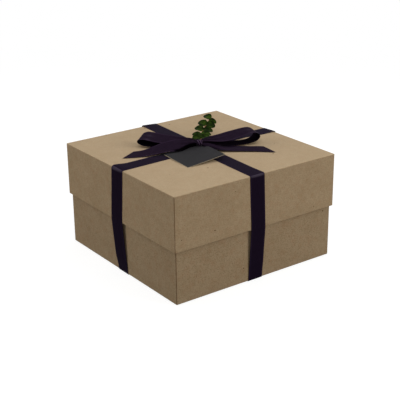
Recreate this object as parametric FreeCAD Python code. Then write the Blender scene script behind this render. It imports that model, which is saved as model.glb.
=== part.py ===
import FreeCAD, Part
import math
import os

Vector = FreeCAD.Vector
UP = Vector(0, 0, 1)

# Kraft gift box: a telescoping two-piece rigid box, tied with satin ribbon in a bow,
# with a card tag and a eucalyptus sprig in the knot. Millimetres, +Z up, origin on the
# ground under the middle of the box. The front face looks along -Y.

# Rigid box
lid_side = 250.0
closed_height = 141.0
skirt_depth = 70.5
board_thickness = 2.0
paper_thickness = 0.2
board_edge_radius = 0.8
telescope_gap = 0.45
lid_seat_gap = 0.1
turn_in_depth = 18.0
stay_leg = 14.0
stay_thickness = 0.1
stay_end_margin = 3.0

# Ribbon round the box
ribbon_width = 22.0
ribbon_thickness = 0.3
ribbon_gap = 0.1
step_ramp = 3.0
step_margin = 2.0
bend_steps = 4

# Sideways place of each ribbon's middle line, from the ground up one side,
# over the lid and down the other side
x_ribbon_left_foot = -4.0
x_ribbon_left_rim = 1.5
x_ribbon_left_top = -4.0
x_ribbon_right_top = 4.1
x_ribbon_right_rim = 3.0
x_ribbon_right_foot = 1.0
y_ribbon_front_foot = -2.1
y_ribbon_front_rim = -0.1
y_ribbon_front_top = -1.75
y_ribbon_back_top = 6.8
y_ribbon_back_rim = 4.0
y_ribbon_back_foot = 2.0

# Bow knot: its place on the lid, and the height of its middle over the lid's ribbon
knot_x = -3.0
knot_y = -8.0
knot_height = 10.1
knot_length = 7.5
knot_radius = 3.4
knot_end_radius = 2.7
bow_heading = -36.0
tie_radius = 1.6
bow_root_gap = 1.05

# Bow ribbons: a length from the knot's middle, a heading and a list of stations.
# Each station is (along, aside, height, tilt, gather). Along is 0 beside the knot and
# 1 at the full length. Aside is a share of the ribbon's width, towards the back of the
# bow. Height is a share of the knot's height, tilt is in degrees with the back edge up,
# and gather is the share of the ribbon's width that shows where it is drawn together.
sections_per_loop = 40
sections_per_tail = 22
left_loop_length = 83.0
left_loop_heading = 127.0
left_loop_stations = [
    (0.00, 0.13, 1.19, 14, 0.21),
    (0.12, 0.10, 1.13, 15, 0.45),
    (0.29, 0.05, 1.07, 15, 0.77),
    (0.50, 0.01, 1.05, 13, 1.00),
    (0.71, 0.00, 1.24, 10, 1.00),
    (0.89, 0.00, 1.34, 7, 1.00),
    (0.99, 0.00, 0.87, 3, 1.00),
    (0.92, 0.00, 0.34, 1, 1.00),
    (0.72, 0.00, 0.28, 2, 1.00),
    (0.48, 0.03, 0.40, 5, 1.00),
    (0.27, 0.11, 0.63, 9, 0.73),
    (0.11, 0.15, 0.87, 12, 0.41),
    (0.00, 0.15, 0.99, 12, 0.21),
]
right_loop_length = 83.0
right_loop_heading = -14.0
right_loop_stations = [
    (0.00, 0.07, 1.18, 12, 0.21),
    (0.13, 0.10, 1.20, 14, 0.50),
    (0.32, 0.14, 1.24, 14, 0.82),
    (0.53, 0.17, 1.39, 13, 1.00),
    (0.76, 0.18, 1.57, 11, 1.00),
    (0.92, 0.18, 1.49, 8, 1.00),
    (1.00, 0.18, 0.95, 5, 1.00),
    (0.92, 0.18, 0.42, 3, 1.00),
    (0.71, 0.17, 0.24, 2, 1.00),
    (0.48, 0.15, 0.33, 3, 1.00),
    (0.27, 0.11, 0.57, 5, 0.73),
    (0.11, 0.07, 0.87, 8, 0.41),
    (0.00, 0.06, 0.99, 10, 0.21),
]
left_tail_length = 93.0
left_tail_heading = 155.0
left_tail_stations = [
    (0.00, -0.10, 0.87, 28, 0.21),
    (0.08, -0.06, 0.91, 24, 0.43),
    (0.20, -0.02, 0.88, 19, 0.73),
    (0.32, -0.01, 0.78, 15, 0.93),
    (0.47, -0.01, 0.58, 11, 1.00),
    (0.63, -0.05, 0.29, 5, 1.00),
    (0.76, -0.07, 0.15, 3, 1.00),
    (0.88, -0.07, 0.08, 2, 1.00),
    (1.00, -0.05, 0.05, 1, 1.00),
]
right_tail_length = 90.0
right_tail_heading = -36.0
right_tail_stations = [
    (0.00, -0.06, 0.84, 4, 0.21),
    (0.05, -0.06, 0.80, 2, 0.36),
    (0.12, -0.03, 0.65, 0, 0.55),
    (0.23, 0.03, 0.37, -2, 0.82),
    (0.37, 0.07, 0.16, -2, 1.00),
    (0.55, 0.07, 0.10, -1, 1.00),
    (0.74, 0.05, 0.06, -1, 1.00),
    (0.87, 0.02, 0.05, 0, 1.00),
    (1.00, -0.04, 0.04, 0, 1.00),
]
tail_tip_lead = 8.0

# Card tag threaded under the knot
tag_side = 56.5
tag_thickness = 0.5
tag_hole_inset_x = 7.0
tag_hole_inset_y = 8.0
tag_hole_radius = 2.4
tag_knot_gap = 0.75
tag_ribbon_gap = 0.1
tag_turn = -3.0

# Eucalyptus sprig. Each stem station is (along, aside, height): shares of the stem's
# length from the knot's middle, of its length to the left, and of the knot's height.
stem_length = 84.0
sprig_heading = 44.0
stem_root_radius = 1.1
stem_tip_radius = 0.5
stem_socket_clearance = 0.4
stem_sections = 14
stem_sides = 10
stem_stations = [
    (0.02, 0.00, 1.07),
    (0.13, 0.00, 1.14),
    (0.31, 0.02, 1.21),
    (0.50, 0.03, 1.33),
    (0.79, 0.01, 1.62),
    (1.00, -0.02, 1.90),
]
leaf_thickness = 0.4
leaf_gap = 0.15
# Each leaf: share of the stem's length, side of the stem, turn from the stem, lift, length, width
leaves = [
    (0.15, 1, 64, 10, 9.0, 7.5),
    (0.18, -1, 58, 12, 9.0, 7.5),
    (0.30, 1, 74, 14, 12.0, 9.5),
    (0.34, -1, 66, 12, 12.0, 9.5),
    (0.48, 1, 72, 16, 12.5, 11.0),
    (0.51, -1, 68, 10, 12.0, 10.5),
    (0.67, 1, 72, 18, 14.0, 12.5),
    (0.70, -1, 66, 12, 13.0, 12.5),
    (0.89, 1, 60, 16, 12.5, 10.0),
    (0.86, -1, 60, -8, 10.5, 6.5),
]

# Levels and half widths that follow from the sizes above
lid_half = lid_side / 2
lid_board_inner_half = lid_half - paper_thickness - board_thickness
base_half = lid_board_inner_half - paper_thickness - telescope_gap
paper_edge_radius = board_edge_radius + paper_thickness
rim_z = closed_height - skirt_depth
base_underside = 2 * ribbon_thickness + ribbon_gap
lid_ceiling = closed_height - board_thickness - 2 * paper_thickness
base_height = lid_ceiling - lid_seat_gap - base_underside
under_reach = base_half - paper_edge_radius - step_ramp
lid_ribbon_top = closed_height + ribbon_gap + ribbon_thickness
crossing_top = lid_ribbon_top + ribbon_thickness
knot_middle = Vector(knot_x, knot_y, lid_ribbon_top + knot_height)
bow_root = knot_length / 2 + bow_root_gap
tag_hole_level = knot_middle.z - knot_radius - tag_knot_gap - tag_thickness / 2
tag_low_level = lid_ribbon_top + tag_ribbon_gap + tag_thickness / 2

X_RUN = Vector(1, 0, 0)
Y_RUN = Vector(0, 1, 0)


def save(shape, node):
    """Write one piece to its own file."""
    shape.exportStep("parts/" + node + ".step")


def block(half, z_low, z_high):
    """A square block about the Z axis."""
    corner = Vector(-half, -half, z_low)
    return Part.makeBox(2 * half, 2 * half, z_high - z_low, corner)


def rounded_block(half, z_low, z_high, radius):
    """A block with its upright edges and the edges of its low face rounded."""
    body = block(half, z_low, z_high)
    rounded = []
    for edge in body.Edges:
        upright = abs(edge.Vertexes[0].Z - edge.Vertexes[1].Z) > radius
        low = edge.BoundBox.ZMax < z_low + radius
        if upright or low:
            rounded.append(edge)
    return body.makeFillet(radius, rounded)


def rounded_column(half, z_low, z_high, radius):
    """A block with only its upright edges rounded."""
    body = block(half, z_low, z_high)
    upright = [e for e in body.Edges if abs(e.Vertexes[0].Z - e.Vertexes[1].Z) > radius]
    return body.makeFillet(radius, upright)


def tray(half, height):
    """Board, corner stays, wrapping paper and lining of a tray that opens upwards."""
    board_half = half - paper_thickness
    inner_half = board_half - board_thickness
    floor = paper_thickness + board_thickness
    turn_in_edge = height - turn_in_depth
    hollow = block(inner_half, floor, height)
    board_block = rounded_block(board_half, paper_thickness, height - paper_thickness, board_edge_radius)
    board = board_block.cut(hollow)

    stay_low = paper_thickness + stay_end_margin
    stay_high = height - stay_end_margin
    stay_outer = rounded_column(
        board_half + stay_thickness, stay_low, stay_high, board_edge_radius + stay_thickness
    )
    stay_inner = rounded_column(board_half, stay_low, stay_high, board_edge_radius)
    stay_ring = stay_outer.cut(stay_inner)
    stays = []
    for side_x in (-1, 1):
        for side_y in (-1, 1):
            reach = board_half + stay_thickness
            corner_x = reach - stay_leg if side_x > 0 else -reach
            corner_y = reach - stay_leg if side_y > 0 else -reach
            keep = Part.makeBox(
                stay_leg, stay_leg, stay_high - stay_low, Vector(corner_x, corner_y, stay_low)
            )
            stays.append(stay_ring.common(keep))

    wrap = rounded_block(half, 0, height, paper_edge_radius).cut(board)
    wrap = wrap.cut(block(inner_half, floor, turn_in_edge))
    wrap = wrap.cut(block(inner_half - paper_thickness, turn_in_edge, height))
    for stay in stays:
        wrap = wrap.cut(stay)

    lining = block(inner_half, floor, turn_in_edge)
    lining = lining.cut(block(inner_half - paper_thickness, floor + paper_thickness, turn_in_edge))
    return board, stays, wrap, lining


def save_tray(prefix, half, height, place):
    """Write the pieces of one tray after moving them to their place."""
    board, stays, wrap, lining = tray(half, height)
    save(place(board), prefix + "_board")
    save(place(wrap), prefix + "_wrap_paper")
    save(place(lining), prefix + "_lining")
    for number, stay in enumerate(stays, start=1):
        save(place(stay), prefix + "_corner_stay_" + str(number))


def place_base(shape):
    """Stand a tray on the ribbons that pass under the box."""
    moved = shape.copy()
    moved.translate(Vector(0, 0, base_underside))
    return moved


def place_lid(shape):
    """Turn a tray upside down and hold it over the base."""
    moved = shape.copy()
    moved.rotate(Vector(0, 0, 0), Vector(1, 0, 0), 180)
    moved.translate(Vector(0, 0, closed_height))
    return moved


def ribbon_section(inner, across, outward, width, lead=0.0, along=Vector(0, 0, 0)):
    """Corners of a thin rectangle whose inner face is centred on a point; lead slants an end."""
    half_across = across * (width / 2) - along * lead
    thick = outward * ribbon_thickness
    first = inner - half_across
    second = inner + half_across
    return [first, second, second + thick, first + thick]


def closed_outline(corners):
    """A closed outline through corners."""
    return Part.makePolygon(corners + corners[:1])


def flat_faced_solid(sections):
    """A closed solid with a flat face between each side of a section and the next section's."""
    faces = [Part.Face(closed_outline(sections[0])), Part.Face(closed_outline(sections[-1]))]
    for near, far in zip(sections, sections[1:]):
        for first in range(len(near)):
            second = (first + 1) % len(near)
            corners = [near[first], near[second], far[second], far[first]]
            faces.append(Part.Face(closed_outline(corners)))
    return Part.makeSolid(Part.makeShell(faces))


def ruled_solid(sections):
    """A closed solid ruled from each section to the next."""
    return Part.makeLoft([closed_outline(section) for section in sections], True, True)


def frame_point(run, side, distance, offset, z):
    """A point given by its distance along a run and its offset to the side."""
    return run * distance + side * offset + UP * z


def lid_ribbon(run, side, offsets, crossing):
    """A ribbon from one rim over the lid to the other rim; it steps up over a crossing."""
    reach = lid_half + ribbon_gap
    arc_centre = lid_half - paper_edge_radius
    arc_radius = paper_edge_radius + ribbon_gap
    rim_first, top_first, top_second, rim_second = offsets
    places = [(-reach, rim_z, 180.0, rim_first)]
    for step in range(bend_steps + 1):
        turn = math.radians(180.0 - 90.0 * step / bend_steps)
        distance = -arc_centre + arc_radius * math.cos(turn)
        z = closed_height - paper_edge_radius + arc_radius * math.sin(turn)
        places.append((distance, z, math.degrees(turn), top_first))
    flat = closed_height + ribbon_gap
    if crossing is not None:
        raised_half = ribbon_width / 2 + step_margin
        for distance, lift in (
            (crossing - raised_half - step_ramp, 0.0),
            (crossing - raised_half, ribbon_thickness),
            (crossing + raised_half, ribbon_thickness),
            (crossing + raised_half + step_ramp, 0.0),
        ):
            share = (distance + arc_centre) / (2 * arc_centre)
            offset = top_first + (top_second - top_first) * share
            places.append((distance, flat + lift, 90.0, offset))
    for step in range(bend_steps + 1):
        turn = math.radians(90.0 - 90.0 * step / bend_steps)
        distance = arc_centre + arc_radius * math.cos(turn)
        z = closed_height - paper_edge_radius + arc_radius * math.sin(turn)
        places.append((distance, z, math.degrees(turn), top_second))
    places.append((reach, rim_z, 0.0, rim_second))
    sections = []
    for distance, z, turn, offset in places:
        outward = run * math.cos(math.radians(turn)) + UP * math.sin(math.radians(turn))
        sections.append(
            ribbon_section(frame_point(run, side, distance, offset, z), side, outward, ribbon_width)
        )
    return flat_faced_solid(sections)


def under_ribbon(run, side, first_offset, second_offset, steps_over):
    """A ribbon under the box; one of the two steps over the other where they cross."""
    level = ribbon_thickness
    places = [(-under_reach, level)]
    if steps_over:
        raised_half = ribbon_width / 2 + step_margin
        places.append((-raised_half - step_ramp, level))
        places.append((-raised_half, level + ribbon_thickness))
        places.append((raised_half, level + ribbon_thickness))
        places.append((raised_half + step_ramp, level))
    places.append((under_reach, level))
    sections = []
    for distance, z in places:
        share = (distance + under_reach) / (2 * under_reach)
        offset = first_offset + (second_offset - first_offset) * share
        sections.append(
            ribbon_section(frame_point(run, side, distance, offset, z), side, -UP, ribbon_width)
        )
    return flat_faced_solid(sections)


def side_strap(run, side, foot_offset, rim_offset):
    """A ribbon from under the box, round its bottom edge and up to the lid's rim."""
    arc_centre = base_half - paper_edge_radius
    arc_radius = paper_edge_radius + ribbon_gap
    places = [(under_reach, ribbon_thickness, 270.0, foot_offset)]
    for step in range(bend_steps + 1):
        turn = math.radians(270.0 + 90.0 * step / bend_steps)
        distance = arc_centre + arc_radius * math.cos(turn)
        z = base_underside + paper_edge_radius + arc_radius * math.sin(turn)
        places.append((distance, z, math.degrees(turn), foot_offset))
    places.append((lid_half + ribbon_gap, rim_z - lid_seat_gap, 360.0, rim_offset))
    sections = []
    for distance, z, turn, offset in places:
        outward = run * math.cos(math.radians(turn)) + UP * math.sin(math.radians(turn))
        sections.append(
            ribbon_section(frame_point(run, side, distance, offset, z), side, outward, ribbon_width)
        )
    return flat_faced_solid(sections)


def smooth(points):
    """A smooth curve through points, with one unit of parameter from each to the next."""
    curve = Part.BSplineCurve()
    curve.interpolate(Points=points, Parameters=[float(i) for i in range(len(points))])
    return curve


def heading_frame(heading, back_sign):
    """The direction of a heading and the level direction beside it."""
    angle = math.radians(heading)
    run = Vector(math.cos(angle), math.sin(angle), 0)
    side = Vector(-math.sin(angle), math.cos(angle), 0) * back_sign
    return run, side


def bow_ribbon(length, heading, back_sign, stations, section_count, tip_lead):
    """A ribbon of the bow carried through its stations, flat, tilted or looped back."""
    run, side = heading_frame(heading, back_sign)
    foot = Vector(knot_x, knot_y, lid_ribbon_top)
    points = []
    for along, aside, height, tilt, gather in stations:
        distance = bow_root + (length - bow_root) * along
        offset = aside * ribbon_width
        points.append(foot + frame_point(run, side, distance, offset, height * knot_height))
    middle = smooth(points)
    lay = smooth([Vector(s[3], s[4] * ribbon_width, number) for number, s in enumerate(stations)])
    sections = []
    last = len(stations) - 1
    stop = last - 1 if tip_lead else last
    for index in range(section_count + 1):
        place = stop * index / section_count
        along = middle.tangent(place)[0]
        tilt = math.radians(lay.value(place).x)
        level = side * math.cos(tilt) + UP * math.sin(tilt)
        across = (level - along * level.dot(along)).normalize()
        outward = along.cross(across) * back_sign
        sections.append(
            ribbon_section(middle.value(place), across, outward, lay.value(place).y)
        )
    if tip_lead:
        along = middle.tangent(last)[0]
        across = (side - along * side.dot(along)).normalize()
        outward = along.cross(across) * back_sign
        sections.append(
            ribbon_section(middle.value(last), across, outward, ribbon_width, tip_lead, along)
        )
    return ruled_solid(sections)


def knot_and_tie(stem_root, stem_direction):
    """The barrel of the knot and the gathered ribbon that ties it down through the tag."""
    half = knot_length / 2
    corners = [
        Vector(half, 0, knot_end_radius),
        Vector(half, 0, 0),
        Vector(-half, 0, 0),
        Vector(-half, 0, knot_end_radius),
    ]
    crown = Part.Arc(corners[3], Vector(0, 0, knot_radius), corners[0]).toShape()
    profile = Part.Face(Part.Wire(Part.makePolygon(corners).Edges + [crown]))
    barrel = profile.revolve(Vector(0, 0, 0), Vector(1, 0, 0), 360)
    barrel.rotate(Vector(0, 0, 0), UP, bow_heading)
    barrel.translate(knot_middle)
    tie_length = knot_middle.z - crossing_top
    tie = Part.makeCylinder(tie_radius, tie_length, Vector(knot_x, knot_y, crossing_top))
    socket = Part.makeCylinder(
        stem_root_radius + stem_socket_clearance,
        2 * knot_radius,
        stem_root - stem_direction * stem_socket_clearance,
        stem_direction,
    )
    return barrel.fuse(tie).cut(socket)


def tag_card():
    """A square card with a punched hole, one edge down on the lid and the other raised."""
    low_x = tag_hole_inset_x - tag_side
    low_y = tag_hole_inset_y - tag_side
    card = Part.makeBox(tag_side, tag_side, tag_thickness, Vector(low_x, low_y, -tag_thickness / 2))
    hole = Part.makeCylinder(tag_hole_radius, 2 * tag_thickness, Vector(0, 0, -tag_thickness))
    card = card.cut(hole)
    tilt = math.degrees(math.asin((tag_hole_level - tag_low_level) / -low_x))
    card.rotate(Vector(0, 0, 0), Vector(0, 1, 0), -tilt)
    card.rotate(Vector(0, 0, 0), UP, tag_turn)
    card.translate(Vector(knot_x, knot_y, tag_hole_level))
    return card


def stem_curve():
    """The sprig's middle line, from inside the knot to the tip."""
    run, side = heading_frame(sprig_heading, 1)
    foot = Vector(knot_x, knot_y, lid_ribbon_top)
    points = []
    for along, aside, height in stem_stations:
        distance = along * stem_length
        offset = aside * stem_length
        points.append(foot + frame_point(run, side, distance, offset, height * knot_height))
    return smooth(points)


def stem_radius(share):
    """The stem thins steadily from root to tip."""
    return stem_root_radius + (stem_tip_radius - stem_root_radius) * share


def sprig_stem(curve):
    """A thin tapering stem, ruled between rings of points."""
    last = len(stem_stations) - 1
    sections = []
    for index in range(stem_sections + 1):
        share = index / stem_sections
        place = last * share
        along = curve.tangent(place)[0]
        across = along.cross(UP).normalize()
        upward = across.cross(along)
        ring = []
        for corner in range(stem_sides):
            angle = 2 * math.pi * corner / stem_sides
            spoke = across * math.cos(angle) + upward * math.sin(angle)
            ring.append(curve.value(place) + spoke * stem_radius(share))
        sections.append(ring)
    return ruled_solid(sections)


def stem_place(along_stem):
    """The curve parameter at a share of the stem's length."""
    reach = [s[0] for s in stem_stations]
    for index in range(len(reach) - 1):
        if reach[index] <= along_stem <= reach[index + 1]:
            return index + (along_stem - reach[index]) / (reach[index + 1] - reach[index])
    return float(len(reach) - 1)


def leaf(curve, along_stem, side_sign, turn, lift, length, width):
    """A round leaf: a thin oval plate that starts just over the stem and reaches to one side."""
    place = stem_place(along_stem)
    share = place / (len(stem_stations) - 1)
    along = curve.tangent(place)[0]
    left = UP.cross(along).normalize()
    turn_angle = math.radians(turn)
    lift_angle = math.radians(lift)
    level = along * math.cos(turn_angle) + left * (side_sign * math.sin(turn_angle))
    outward = (level * math.cos(lift_angle) + UP * math.sin(lift_angle)).normalize()
    face_normal = outward.cross(along).normalize()
    if face_normal.z < 0:
        face_normal = -face_normal
    oval_reach = math.hypot(length / 2 * math.sin(turn_angle), width / 2 * math.cos(turn_angle))
    centre_distance = (oval_reach + leaf_gap) / math.sin(turn_angle) / math.cos(lift_angle)
    centre = curve.value(place) + outward * centre_distance
    centre = centre + face_normal * (stem_radius(share) + leaf_gap)
    across = face_normal.cross(outward)
    outline = Part.Ellipse(Vector(0, 0, 0), max(length, width) / 2, min(length, width) / 2).toShape()
    plate = Part.Face(Part.Wire([outline])).extrude(Vector(0, 0, leaf_thickness))
    turn_matrix = FreeCAD.Matrix(
        outward.x, across.x, face_normal.x, centre.x,
        outward.y, across.y, face_normal.y, centre.y,
        outward.z, across.z, face_normal.z, centre.z,
        0, 0, 0, 1,
    )
    plate.Placement = FreeCAD.Placement(turn_matrix)
    return plate


# The two trays
save_tray("base", base_half, base_height, place_base)
save_tray("lid", lid_half, skirt_depth, place_lid)

# Ribbons on the lid; the one along X steps over the one along Y
crossing_x = (y_ribbon_front_top + y_ribbon_back_top) / 2
save(
    lid_ribbon(
        X_RUN, Y_RUN,
        (x_ribbon_left_rim, x_ribbon_left_top, x_ribbon_right_top, x_ribbon_right_rim),
        crossing_x,
    ),
    "ribbon_lid_x",
)
save(
    lid_ribbon(
        Y_RUN, X_RUN,
        (y_ribbon_front_rim, y_ribbon_front_top, y_ribbon_back_top, y_ribbon_back_rim),
        None,
    ),
    "ribbon_lid_y",
)

# Ribbons under the box and up its sides to the rim
save(under_ribbon(X_RUN, Y_RUN, x_ribbon_left_foot, x_ribbon_right_foot, True), "ribbon_under_x")
save(under_ribbon(Y_RUN, X_RUN, y_ribbon_front_foot, y_ribbon_back_foot, False), "ribbon_under_y")
save(side_strap(-X_RUN, Y_RUN, x_ribbon_left_foot, x_ribbon_left_rim), "ribbon_strap_left")
save(side_strap(X_RUN, Y_RUN, x_ribbon_right_foot, x_ribbon_right_rim), "ribbon_strap_right")
save(side_strap(-Y_RUN, X_RUN, y_ribbon_front_foot, y_ribbon_front_rim), "ribbon_strap_front")
save(side_strap(Y_RUN, X_RUN, y_ribbon_back_foot, y_ribbon_back_rim), "ribbon_strap_back")

# Bow
stem_line = stem_curve()
save(knot_and_tie(stem_line.value(0), stem_line.tangent(0)[0]), "bow_knot")
for name, length, heading, back_sign, stations in (
    ("bow_left_loop", left_loop_length, left_loop_heading, -1, left_loop_stations),
    ("bow_right_loop", right_loop_length, right_loop_heading, 1, right_loop_stations),
):
    save(bow_ribbon(length, heading, back_sign, stations, sections_per_loop, 0), name)
for name, length, heading, back_sign, stations in (
    ("bow_left_tail", left_tail_length, left_tail_heading, -1, left_tail_stations),
    ("bow_right_tail", right_tail_length, right_tail_heading, 1, right_tail_stations),
):
    save(bow_ribbon(length, heading, back_sign, stations, sections_per_tail, tail_tip_lead), name)

# Tag
save(tag_card(), "tag_card")

# Sprig
save(sprig_stem(stem_line), "sprig_stem")
for number, leaf_sizes in enumerate(leaves, start=1):
    save(leaf(stem_line, *leaf_sizes), "sprig_leaf_" + str(number))
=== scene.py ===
import math

import bpy
import numpy as np
from bpy.props import FloatProperty, FloatVectorProperty, PointerProperty
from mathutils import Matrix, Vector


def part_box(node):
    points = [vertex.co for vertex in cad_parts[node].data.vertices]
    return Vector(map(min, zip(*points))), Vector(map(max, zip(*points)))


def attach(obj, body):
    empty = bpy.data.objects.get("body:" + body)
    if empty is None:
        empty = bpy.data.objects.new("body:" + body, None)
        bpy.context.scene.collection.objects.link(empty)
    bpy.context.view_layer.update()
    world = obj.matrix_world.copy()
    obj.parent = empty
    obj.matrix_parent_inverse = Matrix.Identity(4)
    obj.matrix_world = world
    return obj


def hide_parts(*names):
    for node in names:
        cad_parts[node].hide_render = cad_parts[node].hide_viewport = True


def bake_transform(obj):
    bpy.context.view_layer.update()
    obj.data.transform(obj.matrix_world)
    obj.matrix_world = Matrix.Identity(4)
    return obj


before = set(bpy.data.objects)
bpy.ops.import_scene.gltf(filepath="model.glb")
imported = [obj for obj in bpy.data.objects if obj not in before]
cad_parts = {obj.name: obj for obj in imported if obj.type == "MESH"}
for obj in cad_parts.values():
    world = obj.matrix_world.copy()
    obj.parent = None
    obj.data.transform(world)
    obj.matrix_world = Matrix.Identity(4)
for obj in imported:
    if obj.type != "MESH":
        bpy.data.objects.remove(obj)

bl_info = {
    "name": "Kraft Gift Box",
    "version": (1, 0, 0),
    "blender": (4, 5, 0),
    "location": "View3D > Sidebar > Gift Box",
    "description": "Paper, ribbon, tag and sprig for a square kraft gift box",
    "category": "Add Mesh",
}

MM = 0.001
UP = np.array([0.0, 0.0, 1.0])
# The level way that the front of the bow faces
FRONT = np.array([-0.588, -0.809, 0.0])
X_RUN = np.array([1.0, 0.0, 0.0])
Y_RUN = np.array([0.0, 1.0, 0.0])
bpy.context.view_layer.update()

# Places read from the parts in model.glb
LID_LOW, LID_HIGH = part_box("lid_wrap_paper")
BASE_LOW, BASE_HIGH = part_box("base_wrap_paper")
LID_HALF = LID_HIGH.x
BASE_HALF = BASE_HIGH.x
LID_TOP = LID_HIGH.z
LID_RIM = LID_LOW.z
BASE_BOTTOM = BASE_LOW.z

# Ribbon: width, thickness, gap below it, points across it and spacing of its cross threads
RIBBON_WIDTH = 22 * MM
RIBBON_THICKNESS = 0.3 * MM
RIBBON_GAP = 0.1 * MM
RIBBON_COLUMNS = 19
PICK_SPACING = 0.45 * MM
LID_RIBBON_TOP = LID_TOP + RIBBON_GAP + RIBBON_THICKNESS
# The ribbon under the box: its middle's height over the table
UNDER_LEVEL = 0.19 * MM
# The steps by which the ribbon along X passes over the other, on the lid and under the box
OVER_STEP = 0.34 * MM
UNDER_STEP = 0.33 * MM
# How far such a step runs past the other ribbon's edges, and the ramp that leads up to it
CROSSING_MARGIN = 2 * MM
CROSSING_RAMP = 4 * MM
# How far a ribbon's middle and its ripples stand off the box, heights over the table between which
# they begin to, distances from the crossing between which they begin to, and how many radians the
# two sets of ripples turn in a metre
SLACK = 0.05 * MM
SLACK_HEIGHTS = (3 * MM, 25 * MM)
SLACK_DISTANCES = (14 * MM, 22 * MM)
RIPPLE_TURNS = (95, 41)
# How far inside the lid's sides a ribbon's twist begins
TWIST_RUN = 22 * MM
# The right arm of the ribbon along X is gathered and bent towards the knot: the run over which
# both set in, the share of its width that it loses, the distances between which it regains it, and
# its bend's depth, place and spread
ARM_RAMP = 30 * MM
ARM_PINCH = 0.4
ARM_PINCH_ENDS = (45 * MM, 108 * MM)
ARM_BEND = 3.5 * MM
ARM_BEND_PLACE = 78 * MM
ARM_BEND_SPREAD = 26 * MM
# The bends at the lid's edges carry a painted highlight: how far in and how far down it reaches, and
# how strong it is
PAINTED_HIGHLIGHT_REACH = 0.6 * MM
PAINTED_HIGHLIGHT_DROP = 1.9 * MM
PAINTED_BEND_HIGHLIGHT = 0.8

# How far apart the points of a ribbon round the box stand between its bends
BAND_SPACING = 2.5 * MM
# Radii of its bends, and sideways places of its middle line there: foot, rim, top, top, rim, foot
BAND_RADII = np.array([1.3, 14.0, 1.4, 1.4, 14.0, 1.3]) * MM
X_RIBBON_OFFSETS = np.array([-4.0, 1.5, -4.0, 4.1, 3.0, 1.0]) * MM
Y_RIBBON_OFFSETS = np.array([-2.1, -0.1, -2.8, 6.8, 4.0, 2.0]) * MM

# Bow: place of the knot, height of its middle over the lid's ribbon, its length, and its radius in
# the middle and at its ends
KNOT_X = -3 * MM
KNOT_Y = -8 * MM
KNOT_HEIGHT = 10.1 * MM
KNOT_LENGTH = 7.5 * MM
KNOT_RADIUS = 3.4 * MM
KNOT_END_RADIUS = 2.7 * MM
# Its slanted folds: how far they lean, how many large and small ones lie between its middle and
# an end, how high each kind stands, and how far both are sunk
KNOT_SLANT = 0.42
LARGE_FOLDS = 1.35
SMALL_FOLDS = 4.1
LARGE_FOLD_HEIGHT = 0.75 * MM
SMALL_FOLD_HEIGHT = 0.18 * MM
FOLD_SINK = 0.45 * MM
# The gathered ribbon under it: radius, spread of its foot, pleats and their share of the radius
TIE_RADIUS = 1.45 * MM
TIE_SPREAD = 0.75 * MM
TIE_PLEATS = 6
TIE_PLEAT_SHARE = 0.13
# Heading of the knot's axis in degrees, and how far from its middle the bow's ribbons begin
BOW_HEADING = -36.0
BOW_ROOT = 4.8 * MM
KNOT_FOOT = np.array([KNOT_X, KNOT_Y, LID_RIBBON_TOP])
KNOT_MIDDLE = KNOT_FOOT + KNOT_HEIGHT * UP
# Each ribbon of the bow: its length out from the knot's middle, its heading in degrees, the side on
# which its back lies, and its stations. A station is its place along and aside and its height, as
# shares of that length, the ribbon's width and the knot's height, its tilt in degrees, and the
# share of the width that gathering leaves.
LOOPS = {
    "bow_left_loop": (83 * MM, 127.0, -1, [
        (0.00, 0.13, 1.19, 14, 0.21),
        (0.12, 0.10, 1.13, 15, 0.45),
        (0.29, 0.05, 1.07, 15, 0.77),
        (0.50, 0.01, 1.05, 13, 1.00),
        (0.71, 0.00, 1.18, 14, 1.00),
        (0.88, 0.00, 1.30, 12, 1.00),
        (0.98, 0.00, 0.95, 8, 1.00),
        (0.91, 0.00, 0.46, 6, 1.00),
        (0.72, 0.00, 0.36, 6, 1.00),
        (0.48, 0.03, 0.45, 8, 1.00),
        (0.27, 0.11, 0.63, 9, 0.73),
        (0.11, 0.15, 0.87, 12, 0.41),
        (0.00, 0.15, 0.99, 12, 0.21),
    ]),
    "bow_right_loop": (83 * MM, -14.0, 1, [
        (0.00, 0.07, 1.18, 12, 0.21),
        (0.13, 0.10, 1.20, 14, 0.50),
        (0.32, 0.14, 1.13, 14, 0.82),
        (0.53, 0.17, 1.28, 12, 1.00),
        (0.76, 0.18, 1.58, 7, 1.00),
        (0.92, 0.18, 1.60, 4, 1.00),
        (1.00, 0.18, 1.02, 0, 1.00),
        (0.92, 0.18, 0.34, -4, 1.00),
        (0.71, 0.17, 0.17, -3, 1.00),
        (0.48, 0.15, 0.29, 1, 1.00),
        (0.27, 0.11, 0.57, 5, 0.73),
        (0.11, 0.07, 0.87, 8, 0.41),
        (0.00, 0.06, 0.99, 10, 0.21),
    ]),
}
TAILS = {
    "bow_left_tail": (93 * MM, 155.0, -1, [
        (0.00, -0.02, 1.10, 28, 0.21),
        (0.08, -0.03, 1.20, 26, 0.38),
        (0.20, -0.02, 1.09, 23, 0.74),
        (0.32, -0.01, 0.91, 21, 0.98),
        (0.47, -0.01, 0.68, 17, 1.00),
        (0.63, -0.05, 0.36, 9, 1.00),
        (0.76, -0.07, 0.15, 3, 1.00),
        (0.88, -0.07, 0.08, 2, 1.00),
        (1.00, -0.05, 0.05, 1, 1.00),
    ]),
    "bow_right_tail": (90 * MM, -36.0, 1, [
        (0.00, -0.06, 0.84, 4, 0.21),
        (0.05, -0.06, 0.80, 2, 0.36),
        (0.12, -0.03, 0.65, 0, 0.55),
        (0.23, 0.03, 0.37, -2, 0.82),
        (0.37, 0.07, 0.16, -2, 1.00),
        (0.55, 0.07, 0.10, -1, 1.00),
        (0.74, 0.05, 0.06, -1, 1.00),
        (0.87, 0.02, 0.05, 0, 1.00),
        (1.00, -0.04, 0.04, 0, 1.00),
    ]),
}
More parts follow.
